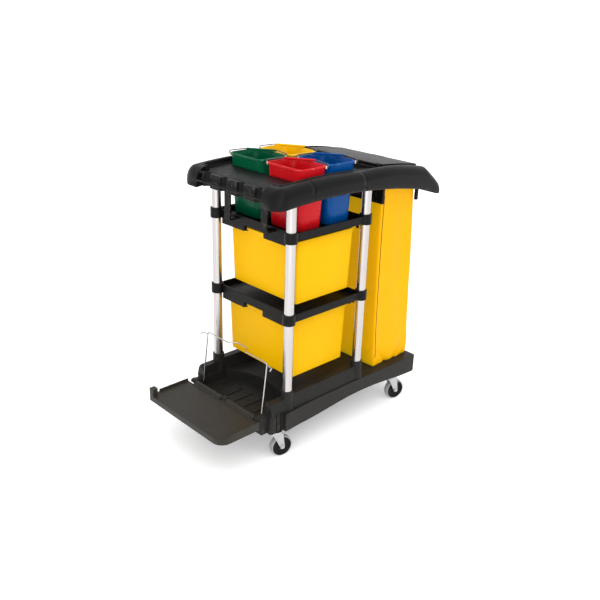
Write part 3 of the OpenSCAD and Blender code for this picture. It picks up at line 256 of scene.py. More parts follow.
blackLook = {"dark": tint(10, 10, 10), "light": tint(18, 17, 17), "worn": tint(96, 94, 90), "wear": 0.35,
             "cloudScale": 12, "grainScale": 1300, "rubScale": 60, "grainDepth": 0.00022,
             "rubs": (0.52, 0.72), "edges": (0.515, 0.58), "cloudRough": 0.16, "rubRough": 0.10,
             "rough": 0.42, "gloss": 0.12}
deckLook = {**blackLook, "dark": tint(27, 27, 26), "light": tint(41, 40, 39)}
brownLook = {**blackLook, "dark": tint(43, 41, 37), "light": tint(57, 54, 49)}
wheelLook = {**blackLook, "rough": 0.4}
# dark brown seam: partly the piping's own colour, partly painted shade of the crease along the bag's corner
pipingShadeLook = {**blackLook, "dark": tint(84, 52, 8), "light": tint(120, 78, 14)}
binLook = {**blackLook, "dark": tint(228, 172, 0), "light": tint(236, 182, 0), "worn": tint(252, 214, 70),
           "wear": 0.4, "cloudScale": 6, "grainScale": 1100, "rubScale": 45, "grainDepth": 0.00012,
           "rough": 0.40, "gloss": 0.06}
creamLook = {**binLook, "dark": tint(214, 196, 160), "light": tint(236, 222, 190)}
pailTints = {"red": (tint(184, 15, 23), tint(216, 22, 32), tint(240, 120, 120)),
             "green": (tint(0, 74, 46), tint(0, 96, 62), tint(90, 170, 140)),
             "blue": (tint(0, 62, 126), tint(0, 84, 158), tint(110, 160, 220)),
             "yellow": (tint(238, 184, 4), tint(248, 200, 8), tint(255, 232, 140))}
tubeLook = {"streaks": (700, 700, 5), "cloudScale": 9, "streakDepth": 0.00005, "rough": 0.26,
            "streakRough": 0.20, "cloudRough": 0.10,
            "dark": (0.38, 0.36, 0.355, 1), "light": (0.70, 0.67, 0.665, 1)}
zincLook = {**tubeLook, "streaks": (180, 180, 180), "cloudScale": 70, "streakDepth": 0.00008, "rough": 0.30,
            "dark": (0.34, 0.35, 0.36, 1), "light": (0.62, 0.63, 0.64, 1)}
wireLook = {**tubeLook, "streaks": (300, 300, 300), "cloudScale": 40, "streakDepth": 0.00003,
            "dark": (0.34, 0.33, 0.32, 1), "light": (0.62, 0.61, 0.60, 1)}
darkWireLook = {**wireLook, "dark": (0.10, 0.10, 0.10, 1), "light": (0.20, 0.20, 0.20, 1), "rough": 0.40}
# the vinyl's emission colour and strength are painted light, a glow that lifts the bag's shaded faces
vinylLook = {"dark": tint(212, 138, 0), "light": tint(224, 148, 0), "dusty": tint(230, 158, 6),
             "paintedGlowTint": tint(230, 206, 20), "paintedGlowStrength": 0.30, "cloudScale": 7, "grainScale": 900, "dustScale": 18,
             "dust": (0.55, 0.75), "dustShare": 0.25, "cloudRough": 0.18, "dustRough": 0.12,
             "grainDepth": 0.00010, "rough": 0.40, "gloss": 0.06}
tyreLook = {"dark": tint(128, 128, 130), "light": tint(164, 164, 166), "cloudScale": 60, "grainScale": 1500,
            "grainDepth": 0.0002, "rough": 0.62, "cloudRough": 0.2}


def pailPlastic(colour):
    dark, light, worn = pailTints[colour]
    look = {**binLook, "dark": dark, "light": light, "worn": worn, "rough": 0.26, "grainDepth": 0.00006,
            "gloss": 0.14}
    return mouldedPlastic("pail" + colour.capitalize(), look)


def makeFinishes():
    made = {
        "black": mouldedPlastic("blackMoulding", blackLook),
        "deck": mouldedPlastic("deckMoulding", deckLook),
        "brown": mouldedPlastic("brownBlackMoulding", brownLook),
        "bin": mouldedPlastic("binYellow", binLook)}
    for colour in pailTints:
        made[colour] = pailPlastic(colour)
    made.update({
        "cream": mouldedPlastic("creamBush", creamLook),
        "aluminium": brushedMetal("brushedTube", tubeLook),
        "zinc": brushedMetal("zincPlate", zincLook),
        "wire": brushedMetal("brightWire", wireLook),
        "darkWire": brushedMetal("darkWire", darkWireLook),
        "vinyl": vinylSheet("yellowVinyl", vinylLook),
        "pipingShade": mouldedPlastic("seamPipingShade", pipingShadeLook),
        "tyre": tyreRubber("greyTread", tyreLook),
        "wheel": mouldedPlastic("wheelBlack", wheelLook)})
    print("finishes made:", len(made))
    return made


# Mesh helpers

def addPiece(name, bm, finish, body, slot, stands=(), sharp=35):
    bmesh.ops.recalc_face_normals(bm, faces=bm.faces)
    mesh = bpy.data.meshes.new(name)
    bm.to_mesh(mesh)
    bm.free()
    mesh.shade_smooth()
    mesh.set_sharp_from_angle(angle=math.radians(sharp))
    mesh.materials.append(finish)
    obj = bpy.data.objects.new(name, mesh)
    scene.collection.objects.link(obj)
    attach(obj, body)
    if stands:
        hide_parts(*stands)
    return obj


def thicken(obj, thickness):                    # gives a sheet its thickness, inwards
    shell = obj.modifiers.new("thick", "SOLIDIFY")
    shell.thickness = thickness
    shell.offset = -1


def loft(bm, rings, around=True, startCap=False, endCap=False):
    rows = [[bm.verts.new(point) for point in ring] for ring in rings]
    count = len(rings[0])
    for low, high in zip(rows, rows[1:]):
        for k in range(count if around else count - 1):
            n = (k + 1) % count
            bm.faces.new((low[k], low[n], high[n], high[k]))
    if startCap:
        bm.faces.new(list(reversed(rows[0])))
    if endCap:
        bm.faces.new(rows[-1])
    return rows


def roundRect(lx, ly, r, steps=7):
    points = []
    for sx, sy, start in ((1, 1, 0), (-1, 1, 90), (-1, -1, 180), (1, -1, 270)):
        for k in range(steps + 1):
            a = math.radians(start + 90 * k / steps)
            points.append((sx * (lx / 2 - r) + r * math.cos(a), sy * (ly / 2 - r) + r * math.sin(a)))
    return points


def lathe(bm, profile, centre, axis, steps, closed=False):
    axis = Vector(axis).normalized()
    side = axis.orthogonal().normalized()
    other = axis.cross(side)
    rings = []
    for r, h in profile:
        ring = [Vector(centre) + axis * h + (side * math.cos(t) + other * math.sin(t)) * r
                for t in (2 * math.pi * k / steps for k in range(steps))]
        rings.append(ring)
    if closed:
        rings.append(rings[0])
    loft(bm, rings, startCap=not closed, endCap=not closed)
    bmesh.ops.remove_doubles(bm, verts=bm.verts, dist=1e-7)


def smoothPath(points, steps):                  # a curve through the points
    path = []
    ends = [points[0]] + list(points) + [points[-1]]
    for a, b, c, d in zip(ends, ends[1:], ends[2:], ends[3:]):
        for k in range(steps):
            t = k / steps
            path.append(0.5 * (2 * b + (c - a) * t + (2 * a - 5 * b + 4 * c - d) * t * t
                               + (3 * b - a - 3 * c + d) * t ** 3))
    return path + [points[-1]]


def sweep(bm, path, radius, sides):
    tangents = [(path[min(k + 1, len(path) - 1)] - path[max(k - 1, 0)]).normalized() for k in range(len(path))]
    normal = tangents[0].orthogonal().normalized()
    rings = []
    for point, tangent in zip(path, tangents):
        normal = (normal - tangent * normal.dot(tangent)).normalized()
        other = tangent.cross(normal)
        rings.append([point + (normal * math.cos(a) + other * math.sin(a)) * radius
                      for a in (2 * math.pi * k / sides for k in range(sides))])
    loft(bm, rings, startCap=True, endCap=True)


rounding = {"weld": 2e-5, "flat": 0.3, "cuts": 14, "sharp": 28, "segments": 2, "shading": 40}


def softened(node, finish, slot, width, pitch=0, shape=None):
    r = rounding
    bm = bmesh.new()                            # a copy of the solid with rounded edges
    bm.from_mesh(nodes[node].data)
    bmesh.ops.remove_doubles(bm, verts=bm.verts, dist=r["weld"])
    bmesh.ops.dissolve_limit(bm, angle_limit=math.radians(r["flat"]), verts=bm.verts, edges=bm.edges)
    for axis in (Vector((1, 0, 0)), Vector((0, 1, 0))) if pitch else ():
        for k in range(-r["cuts"], r["cuts"] + 1):           # cut up, so that no face runs round a hole
            bmesh.ops.bisect_plane(bm, geom=bm.verts[:] + bm.edges[:] + bm.faces[:], dist=1e-5,
                                   plane_co=axis * k * pitch, plane_no=axis)
    if shape:
        shape(bm)
    sharp = [e for e in bm.edges if len(e.link_faces) == 2 and e.calc_face_angle(0) > math.radians(r["sharp"])]
    bmesh.ops.bevel(bm, geom=sharp, offset=width, segments=r["segments"], profile=0.5, affect="EDGES")
    made = addPiece(node + "Soft", bm, finish, bodyOf[node], slot, [node], r["shading"])
    even = made.modifiers.new("even", "WEIGHTED_NORMAL")     # flat faces stay flat between the rounded edges
    even.keep_sharp = True


# Pails, their bushes and handles

pail = {"length": 0.140, "width": 0.184, "height": 0.240, "draft": 0.009, "wall": 0.003, "corner": 0.027,
        "rim": 0.003, "rimHeight": 0.008, "baseRound": 0.010, "pivotDrop": 0.007, "bush": 0.0065,
        "bushLength": 0.004, "lugRise": 0.001, "lugLength": 0.012, "wire": 0.002, "pinGap": 0.0005,
        "pinStep": 0.001, "reach": 0.048, "rise": 0.013, "flat": 0.070, "tube": 0.0045, "tubeHalf": 0.060,
        "levels": (0.06, 0.12, 0.18), "runFit": 0.00006, "tubeFit": 0.00015, "tubeEdge": 0.0012,
        "waist": 0.0004, "waistPitch": 0.012}


def pailProfile():                              # (inset from the rim size, height, corner radius)
    p = pail
    slope = p["draft"] / p["height"]
    rows = [(p["draft"] + p["baseRound"] * 1.4, 0.0, p["corner"] - 0.010),
            (p["draft"] + p["baseRound"], 0.0, p["corner"] - 0.006)]
    for k in range(1, 6):
        a = math.radians(18 * k)
        up = p["baseRound"] * (1 - math.cos(a))
        rows.append((p["draft"] + p["baseRound"] * (1 - math.sin(a)) - slope * up, up, p["corner"]))
    low = p["height"] - p["rimHeight"]
    rows += [(slope * (p["height"] - z), z, p["corner"]) for z in (*p["levels"], low - 0.004, low)]
    reach = p["rim"]
    r = p["corner"] + reach
    rows += [(-reach + 0.0008, low + 0.0002, r), (-reach, low + 0.0012, r), (-reach, p["height"] - 0.0025, r),
             (-reach + 0.0012, p["height"] - 0.0007, r), (-reach + 0.003, p["height"], r - 0.003)]
    wall = p["wall"]
    inner = p["corner"] - wall
    rows += [(wall - 0.0012, p["height"] - 0.0004, inner + 0.001), (wall + 0.0003, p["height"] - 0.003, inner)]
    rows += [(wall + slope * (p["height"] - z), z, inner) for z in (*reversed(p["levels"]), 0.016)]
    floorIn = wall + slope * (p["height"] - wall)
    rows += [(floorIn + 0.003, 0.007, inner), (floorIn + 0.010, wall, inner - 0.004),
             (floorIn + 0.018, wall, inner - 0.008)]
    return rows


def pivotLine():
    inward = Vector((pail["length"] / 2 - pail["corner"], pail["corner"] - pail["width"] / 2, 0))
    lug = inward.length + pail["corner"] + pail["rim"] + pail["lugRise"]
    return inward, lug, lug + pail["bushLength"] + pail["pinStep"] + pail["wire"]


def makePail(colour, finish):
    node = "pail_" + colour
    low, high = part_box(node)
    base = Vector(((low.x + high.x) / 2, (low.y + high.y) / 2, low.z))
    bm = bmesh.new()
    rings = [[base + Vector((x, y, z)) for x, y in roundRect(pail["length"] - 2 * i, pail["width"] - 2 * i, r)]
             for i, z, r in pailProfile()]
    loft(bm, rings, startCap=True, endCap=True)
    inward, lug = pivotLine()[:2]
    pivot = base + Vector((0, 0, pail["height"] - pail["pivotDrop"]))
    r = pail["bush"]
    for sign in (1, -1):
        lathe(bm, [(r, lug - pail["lugLength"]), (r, lug - 0.001), (r - 0.0008, lug)], pivot, inward * sign, 28)
    addPiece(colour + "Pail", bm, finish, bodyOf[node], colour + "_plastic", [node])
    bm = bmesh.new()
    bore = pail["wire"] + pail["runFit"]
    end = lug + pail["bushLength"]
    profile = [(bore, lug), (r - 0.0006, lug), (r, lug + 0.0006), (r, end - 0.0014), (r - 0.0014, end),
               (bore, end)]
    for sign in (1, -1):
        lathe(bm, profile, pivot, inward * sign, 28, closed=True)
    node = "bushes_" + colour
    addPiece(colour + "Bushes", bm, finishes["cream"], bodyOf[node], "cream_plastic", [node])
    makeHandle(colour, pivot)


def makeHandle(colour, pivot):                  # the wire lies over the back of the rim, with a tube on it
    inward, lug, wireLine = pivotLine()
    along = inward.normalized()
    over = Vector((-along.y, along.x, 0))
    rise, reach, flat, wire = pail["rise"], pail["reach"], pail["flat"], pail["wire"]
    bends = [(wireLine - 0.003, 0, 0), (wireLine - 0.0008, 0.0004, 0.001), (wireLine, 0.001, rise / 2),
             (wireLine - 0.002, 0.004, 0.75 * rise), (wireLine - 0.008, 0.012, 0.85 * rise),
             (flat + 0.010, reach - 0.014, 0.98 * rise), (flat + 0.004, reach - 0.005, rise),
             (flat - 0.002, reach, rise)]
    half = [Vector((lug + pail["pinGap"], 0, 0))] + smoothPath([Vector(bend) for bend in bends], 4)
    half += [Vector((flat * share, reach, rise)) for share in (0.6, 0.2)]
    half += [Vector((-p.x, p.y, p.z)) for p in reversed(half)]
    bm = bmesh.new()
    sweep(bm, [pivot + along * p.x + over * p.y + Vector((0, 0, p.z)) for p in half], wire, 12)
    node = "handle_" + colour
    addPiece(colour + "Handle", bm, finishes["darkWire"], bodyOf[node], "zinc", [node], 60)
    bm = bmesh.new()
    r, end, bore, edge = pail["tube"], pail["tubeHalf"], wire + pail["tubeFit"], pail["tubeEdge"]
    rows = [(bore, -end), (r - edge, -end), (r, -end + edge)]
    rows += [(r - (pail["waist"] if k % 2 else 0), -end + (k + 0.5) * pail["waistPitch"]) for k in range(10)]
    rows += [(r, end - edge), (r - edge, end), (bore, end)]
    lathe(bm, rows, pivot + over * reach + Vector((0, 0, rise)), along, 20, closed=True)
    node = "grip_" + colour
    addPiece(colour + "Grip", bm, finishes[colour], bodyOf[node], colour + "_plastic", [node], 50)


# Bins

binTub = {"length": 0.299, "width": 0.384, "height": 0.251, "draft": 0.006, "wall": 0.003, "corner": 0.008,
          "baseRound": 0.003, "lipReach": 0.026, "lipThick": 0.009, "flare": 0.026, "flareReach": 0.013,
          "levels": (0.07, 0.13, 0.19), "lipSoft": 0.002, "lipRoot": 0.8}


def makeBin(node, label):
    b = binTub
    low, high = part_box(node)
    base = Vector(((low.x + high.x) / 2, (low.y + high.y) / 2, low.z))
    slope = b["draft"] / b["height"]
    h = b["height"]
    rows = [(b["draft"] + 0.008, 0.0, 0.003), (b["draft"] + b["baseRound"], 0.0, 0.006)]
    for k in range(1, 6):
        a = math.radians(18 * k)
        rows.append((b["draft"] + b["baseRound"] * (1 - math.sin(a)), b["baseRound"] * (1 - math.cos(a)),
                     b["corner"]))
    rows += [(slope * (h - z), z, b["corner"]) for z in (*b["levels"], h - 0.002)]
    rows += [(0.0008, h - 0.0003, b["corner"] - 0.0008), (0.0015, h, b["corner"] - 0.0015)]
    inner = b["corner"] - b["wall"]
    rows += [(b["wall"], h - 0.001, inner)]
    rows += [(b["wall"] + slope * (h - z), z, inner) for z in (*reversed(b["levels"]), 0.014)]
    floorIn = b["wall"] + b["draft"]
    rows += [(floorIn + 0.004, 0.006, inner), (floorIn + 0.010, b["wall"], inner - 0.002)]
    bm = bmesh.new()
    rings = [[base + Vector((x, y, z)) for x, y in roundRect(b["length"] - 2 * i, b["width"] - 2 * i, r)]
             for i, z, r in rows]
    loft(bm, rings, startCap=True, endCap=True)
    half = b["width"] / 2 - b["corner"]
    top = h - b["lipThick"]
    reach, soft, root = b["lipReach"], b["lipSoft"], -b["wall"] * b["lipRoot"]
    outline = [(root, top - b["flare"]), (0.003, top - b["flare"] * 0.72), (b["flareReach"] - 0.001, top),
               (reach - soft, top), (reach - 0.0005, top + 0.0006), (reach, top + soft), (reach, h - soft),
               (reach - 0.0006, h - 0.0006), (reach - soft, h), (-0.001, h), (root, h - 0.003)]
    for sign in (1, -1):
        rings = []
        for y, shrink in ((-half, 0.003), (-half + 0.0008, 0.001), (-half + 0.003, 0), (half - 0.003, 0),
                          (half - 0.0008, 0.001), (half, 0.003)):
            rings.append([base + Vector((sign * (b["length"] / 2 + min(x, reach - shrink)), y, z))
                          for x, z in outline])
        loft(bm, rings, startCap=True, endCap=True)
    addPiece(label, bm, finishes["bin"], bodyOf[node], "yellow_plastic", [node], 50)


# Bag with its seam

bagSack = {"footLength": 0.229, "topLength": 0.204, "width": 0.424, "corner": 0.008, "around": 240, "rows": 72,
           "thick": 0.0012, "settle": 0.002, "tall": 0.81, "footRound": 0.004, "footRoundTall": 0.012,
           "seamHead": 0.012, "seamFoot": 0.024, "seamLean": 0.020, "seamInset": 0.004, "seamProud": 0.0004,
           "seamWire": 0.0016, "seamSkip": 4, "floorLift": 0.001}
slack = {"fold": 0.0022, "sideWaves": 9.5, "endWaves": 13, "hemAt": 0.94, "hemSpan": 0.2,
         "crumple": 14, "crumpleUp": 5, "sag": 0.0045, "belly": 0.0035, "bellyAt": 0.09, "bellySpan": 0.07,
         "tuck": 0.0045, "tuckAt": 0.085, "tuckSlope": 0.75, "tuckWide": 0.010, "tuckTop": 0.13,
         "tuckFade": 0.085, "sideDrift": (1.8, 2.3), "sideStart": 0.6, "endDrift": (1.2, 3.1),
         "crumpleShare": 0.5, "sagTop": 1.05}


def bagOutline(length, width, r, count):        # points and outward directions, evenly spaced
    straightX, straightY, turn = length - 2 * r, width - 2 * r, math.pi * r / 2
    total = 2 * straightX + 2 * straightY + 4 * turn
    sides = ((-1, -1, straightX, 0), (1, -1, straightY, 90), (1, 1, straightX, 180), (-1, 1, straightY, 270))
    spots = []
    for k in range(count):
        s = total * k / count
        for cx, cy, run, heading in sides:
            corner = Vector((cx * (length / 2 - r), cy * (width / 2 - r), 0))
            a = math.radians(heading)
            along = Vector((math.cos(a), math.sin(a), 0))
            out = Vector((math.sin(a), -math.cos(a), 0))
            if s < run:
                spots.append((corner + out * r + along * s, out))
                break
            s -= run
            if s < turn:
                t = s / r
                nextCorner = corner + along * run
                way = out * math.cos(t) + along * math.sin(t)
                spots.append((nextCorner + way * r, way))
                break
            s -= turn
    return spots


def bagSlack(spot, out, t, length):             # how far the sheet stands in or out at this spot
    width = bagSack["width"]
    hung = min(1, max(0, (slack["hemAt"] - t) / slack["hemSpan"]))
    u, v = spot.x / length, spot.y / width
    side, end = abs(out.y), abs(out.x)
    far, often = slack["sideDrift"]
    sideFold = math.sin(slack["sideWaves"] * u + far * math.sin(often * t) + slack["sideStart"])
    far, often = slack["endDrift"]
    endFold = math.sin(slack["endWaves"] * v + far * math.sin(often * t))
    fold = slack["fold"] * hung * (side * sideFold + end * endFold)
    crumple = Vector((spot.x * slack["crumple"], spot.y * slack["crumple"], t * slack["crumpleUp"]))
    fold += slack["crumpleShare"] * slack["fold"] * hung * noise.noise(crumple)
    sag = -slack["sag"] * math.sin(math.pi * min(1, t * slack["sagTop"])) \
        * (side * (1 - (2 * u) ** 2) + end * (1 - (2 * v) ** 2))
    belly = slack["belly"] * math.exp(-((t - slack["bellyAt"]) / slack["bellySpan"]) ** 2) * (side + end)
    crease = 0
    level = t * bagSack["tall"]
    for sx, sy in ((-1, -1), (-1, 1), (1, -1), (1, 1)) if level < slack["tuckTop"] else ():
        reach = (0.5 - sx * u) * length * side + (0.5 - sy * v) * width * end
        across = (reach - slack["tuckAt"] + slack["tuckSlope"] * level) / slack["tuckWide"]
        crease -= slack["tuck"] * math.exp(-across ** 2) * math.exp(-(level / slack["tuckFade"]) ** 2)
    return fold + sag + belly + crease - bagSack["settle"]


def bagRow(row):                                # share of the height, length and middle of one row
    b = bagSack
    low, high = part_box("bag")
    t = row / b["rows"]
    foot = high.x - b["footLength"] / 2
    top = low.x + b["topLength"] / 2
    middle = Vector((foot + (top - foot) * t, 0, low.z + (high.z - low.z) * t))
    return t, b["footLength"] + (b["topLength"] - b["footLength"]) * t, middle


def makeBag():
    b = bagSack
    rings = []
    for row in range(b["rows"] + 1):
        t, length, middle = bagRow(row)
        roundFoot = b["footRound"] * max(0, 1 - t * b["tall"] / b["footRoundTall"]) ** 2
        rings.append([middle + spot + out * (bagSlack(spot, out, t, length) - roundFoot)
                      for spot, out in bagOutline(length, b["width"], b["corner"], b["around"])])
    bm = bmesh.new()
    rows = loft(bm, rings)
    floor = bagRow(0)[2] + Vector((0, 0, b["floorLift"]))
    inner = rows[0]
    for share in (0.7, 0.35):
        ring = [bm.verts.new(floor + (v.co - floor) * share) for v in rows[0]]
        for k in range(len(ring)):
            n = (k + 1) % len(ring)
            bm.faces.new((ring[k], ring[n], inner[n], inner[k]))
        inner = ring
    bm.faces.new(list(reversed(inner)))
    sack = addPiece("wasteBag", bm, finishes["vinyl"], bodyOf["bag"], "yellow_vinyl", ["bag"], 70)
    thicken(sack, b["thick"])
    path = []
    for row in range(b["seamSkip"], b["rows"] + 1 - b["seamSkip"]):
        t, length, middle = bagRow(row)
        x = b["seamFoot"] + (b["seamHead"] - b["seamFoot"]) * t - length / 2
        x += b["seamInset"] - b["seamLean"] * (1 - t)
        spot = Vector((x, -b["width"] / 2, 0))
        out = Vector((0, -1, 0))
        path.append(middle + spot + out * (bagSlack(spot, out, t, length) + b["seamProud"]))
    bm = bmesh.new()
    sweep(bm, path, b["seamWire"], 10)
    # the seam tube's dark brown is partly the piping's colour and partly painted shade of the corner crease
    addPiece("bagSeam", bm, finishes["pipingShade"], bodyOf["bag_zip"], "zip_tape", ["bag_zip"], 60)
    print("bag made")


# Top tray

tray = {"front": -0.351, "tail": 0.573, "half": 0.277, "crown": 1.104, "crownAt": -0.068, "crownRadius": 2.5,
        "droopAt": 0.457, "droop": 0.010, "skirt": 0.070, "shoulderWide": 0.040, "shoulderHigh": 0.038,
        "frontCorner": 0.048, "tailCorner": 0.030, "frontRoll": 0.044, "tailRoll": 0.010, "wall": 0.005,
        "panFront": -0.303, "panRear": 0.233, "panHalf": 0.230, "panDepth": 0.016, "panCorner": 0.024,
        "wellMiddle": -0.034, "wellLength": 0.302, "wellWidth": 0.408, "wellCorner": 0.032, "gapHalf": 0.184,
        "rimRise": 0.022, "rimFrom": 0.107, "crestAt": 0.469, "tailFall": 0.026, "rimBack": 0.485,
        "rimGap": 0.004, "seams": (-0.182, 0.089), "seamDeep": 0.0012, "hem": 0.004, "leastSide": 0.008,
        "flatAt": (0.140, 0.095, 0.047), "stationPitch": 0.0155, "stationGap": 0.004, "panReach": 0.228,
        "brink": 0.004, "liner": 0.003, "wellEdge": 0.0015, "wellLip": 0.014,
        "mouthFront": 0.263, "mouthRear": 0.443, "mouthEdge": 0.003, "mouthGap": 0.003,
        "capWall": 0.005, "capFoot": 1.022, "capFit": 0.00015, "capEdge": 0.0015, "capBevel": 0.0008,
        "topShares": (0.868, 0.5), "gapEdge": 0.003, "leastCorner": 0.008,
        "panRoll": ((0.004, 0.0006), (0.0055, 0.0022), (0.008, 0.0026), (0.010, 0.0016), (0.0115, -0.002),
                    (0.013, -0.012), (0.0145, -0.0148)), "panFoot": 0.018}


def arch(x):
    past = max(0, x - tray["droopAt"]) / (tray["tail"] - tray["droopAt"])
    return tray["crown"] - (x - tray["crownAt"]) ** 2 / (2 * tray["crownRadius"]) - tray["droop"] * past ** 2


def roundIn(r, d):
    return r - math.sqrt(max(0, r * r - (r - d) ** 2)) if d < r else 0


def rimLift(x):                                 # height of the rims beside the lid
    t = tray
    if x < t["rimFrom"]:
        return 0
    if x < t["crestAt"]:
        return t["rimRise"] * (1 - ((t["crestAt"] - x) / (t["crestAt"] - t["rimFrom"])) ** 2)
    return t["rimRise"] - (t["rimRise"] + t["tailFall"]) * (x - t["crestAt"]) / (t["tail"] - t["crestAt"])


def trayHalf(x):
    seam = max(max(0, 1 - abs(x - spot) / tray["seamDeep"]) for spot in tray["seams"]) * tray["seamDeep"]
    front = roundIn(tray["frontCorner"], x - tray["front"])
    tail = roundIn(tray["tailCorner"], tray["tail"] - x)
    return tray["half"] - seam - front - tail


def trayTop(x):
    return arch(x) - roundIn(tray["frontRoll"], x - tray["front"]) - roundIn(tray["tailRoll"], tray["tail"] - x)


def traySection(x):                             # one side, from the skirt's edge up to the flat top
    half, top = trayHalf(x), trayTop(x)
    foot, crest = arch(x) - tray["skirt"], top + rimLift(x)
    wide, tall = tray["shoulderWide"], min(tray["shoulderHigh"], crest - foot - tray["leastSide"])
    hem = tray["hem"]
    side = [(half - hem / 2, foot), (half, foot + hem), (half, (foot + hem + crest - tall) / 2)]
    side += [(half - wide * (1 - math.cos(a)), crest - tall * (1 - math.sin(a)))
             for a in (math.radians(9 * k) for k in range(11))]
    gap = tray["gapHalf"]
    top = crest if x > tray["rimBack"] + 1e-5 else min(top, crest)
    side += [(gap + (half - wide - gap) * share, top) for share in tray["topShares"]]
    side += [(y, top) for y in (gap, gap - tray["gapEdge"], *tray["flatAt"])]
    return [(-y, z) for y, z in side] + [(0, top)] + [(y, z) for y, z in reversed(side)]


def trayStations():
    t = tray
    xs = [t["front"] + t["frontCorner"] * (1 - math.cos(math.radians(7.5 * k))) for k in range(13)]
    xs += [t["tail"] - t["tailCorner"] * (1 - math.cos(math.radians(10 * k))) for k in range(10)]
    fixed = [t["panFront"], t["panRear"], t["mouthFront"], t["mouthRear"], t["crestAt"], t["rimBack"],
             t["rimBack"] + t["rimGap"]]
    fixed += [spot + side * t["seamDeep"] for spot in t["seams"] for side in (-1, 0, 1)]
    xs += [t["front"] + t["frontCorner"] + t["stationPitch"] * k for k in range(1, 54)]
    xs = [x for x in xs if x < t["tail"] + 1e-6 and all(abs(x - f) > t["stationGap"] for f in fixed)]
    return sorted(xs + fixed)


def nearestOnRect(point, middle, lx, ly, r):    # the nearest spot on a rectangle with round corners
    x, y = point.x - middle, point.y
    cx = max(-(lx / 2 - r), min(lx / 2 - r, x))
    cy = max(-(ly / 2 - r), min(ly / 2 - r, y))
    way = Vector((x - cx, y - cy))
    if way.length < 1e-6:
        way = Vector((0, 1 if y > 0 else -1))
    way = way.normalized() * r
    return middle + cx + way.x, cy + way.y


def makeTray():
    t = tray
    bm = bmesh.new()
    xs = trayStations()
    rings = [[Vector((x, y, z)) for y, z in traySection(x)] for x in xs]
    rows = loft(bm, rings, around=False, endCap=True)
    frontEnds(bm, xs, rows)
    holes = {"pan": (t["panFront"], t["panRear"], t["panReach"]),
             "mouth": (t["mouthFront"], t["mouthRear"], t["gapHalf"]),
             "front": (t["front"], t["panFront"], t["gapHalf"])}
    edges = {}
    for label, (x0, x1, reach) in holes.items():
        inside = []
        for face in bm.faces:
            spot = face.calc_center_median()
            within = x0 < spot.x < x1 and abs(spot.y) < reach - 1e-4
            if within and len(face.verts) == 4 and abs(face.normal.z) > 0.1:
                inside.append(face)
        if label == "front":
            bmesh.ops.delete(bm, geom=inside, context="FACES")
            continue
        rim = [e for face in inside for e in face.edges if sum(f in inside for f in e.link_faces) == 1]
        edges[label] = orderedLoop(rim)
        bmesh.ops.delete(bm, geom=inside, context="FACES")
        edges[label] = [v.co.copy() for v in edges[label]]
    shell = addPiece("trayShell", bm, finishes["black"], "cart", "black_plastic", ["top_tray"], 45)
    thicken(shell, t["wall"])
    makePan(edges["pan"])
    makeMouth(edges["mouth"])
    makeCaps()
    print("tray made")


def frontEnds(bm, xs, rows):                    # closes the two front corners beside the front bar
    t = tray
    count = sum(x < t["panFront"] + 1e-6 for x in xs)
    for flip in (False, True):
        sides = [list(reversed(row)) if flip else row for row in rows[:count]]
        nearGap = [k for k, v in enumerate(sides[0]) if abs(abs(v.co.y) - t["gapHalf"]) < 1e-6][0]
        feet = [bm.verts.new((*v[nearGap].co.xy, arch(x) - t["skirt"])) for x, v in zip(xs, sides)]
        bm.faces.new(sides[0][:nearGap + 1] + [feet[0]])
        for k in range(count - 1):
            bm.faces.new((sides[k][nearGap], sides[k + 1][nearGap], feet[k + 1], feet[k]))
    bm.normal_update()


def orderedLoop(rim):
    links = {}
    for e in rim:
        a, b = e.verts
        links.setdefault(a, []).append(b)
        links.setdefault(b, []).append(a)
    start = next(iter(links))
    loop, last = [start], None
    while True:
        step = [v for v in links[loop[-1]] if v != last]
        last = loop[-1]
        if step[0] == start:
            return loop
        loop.append(step[0])


def makePan(edge):
    t = tray
    middle = (t["panFront"] + t["panRear"]) / 2
    length, width = t["panRear"] - t["panFront"], 2 * t["panHalf"]
    sill = [abs(p.x - t["panFront"]) < 1e-5 and abs(p.y) < t["gapHalf"] - 0.001 for p in edge]
    brink = t["panFront"] - t["brink"]          # the floor runs out to the front bar
    level = arch(brink) - t["panDepth"]
    rings = [[Vector((brink, p.y, level)) if low else p for p, low in zip(edge, sill)]]
    for inset, lift in (*t["panRoll"], (t["panFoot"], -t["panDepth"])):
        r = max(t["leastCorner"], t["panCorner"] - inset)
        ring = [nearestOnRect(p, middle, length - 2 * inset, width - 2 * inset, r) for p in edge]
        rings.append([Vector((brink + inset, p.y, level)) if low else Vector((x, y, arch(x) + lift))
                      for (x, y), p, low in zip(ring, edge, sill)])
    floor = rings[-1]
    well = [nearestOnRect(p, t["wellMiddle"], t["wellLength"], t["wellWidth"], t["wellCorner"]) for p in floor]
    for share in (0.2, 0.4, 0.6, 0.8, 0.97, 1.0):
        ring = []
        for p, (x, y) in zip(floor, well):
            px, py = p.x + (x - p.x) * share, p.y + (y - p.y) * share
            ring.append(Vector((px, py, arch(px) - t["panDepth"] - (t["wellEdge"] if share == 1 else 0))))
        rings.append(ring)
    rings.append([p - Vector((0, 0, t["wellLip"])) for p in rings[-1]])
    bm = bmesh.new()
    loft(bm, rings)
    thicken(addPiece("trayPan", bm, finishes["black"], "cart", "black_plastic", (), 45), t["liner"])


def makeMouth(edge):
    t = tray
    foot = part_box("bag")[1].z + t["mouthGap"]   # the lip reaches down to the bag, so that no gap shows
    rings = [list(edge), [p - Vector((0, 0, t["mouthEdge"])) for p in edge],
             [Vector((p.x, p.y, foot)) for p in edge]]
    bm = bmesh.new()
    loft(bm, rings)
    thicken(addPiece("trayMouth", bm, finishes["black"], "cart", "black_plastic", (), 45), t["liner"])


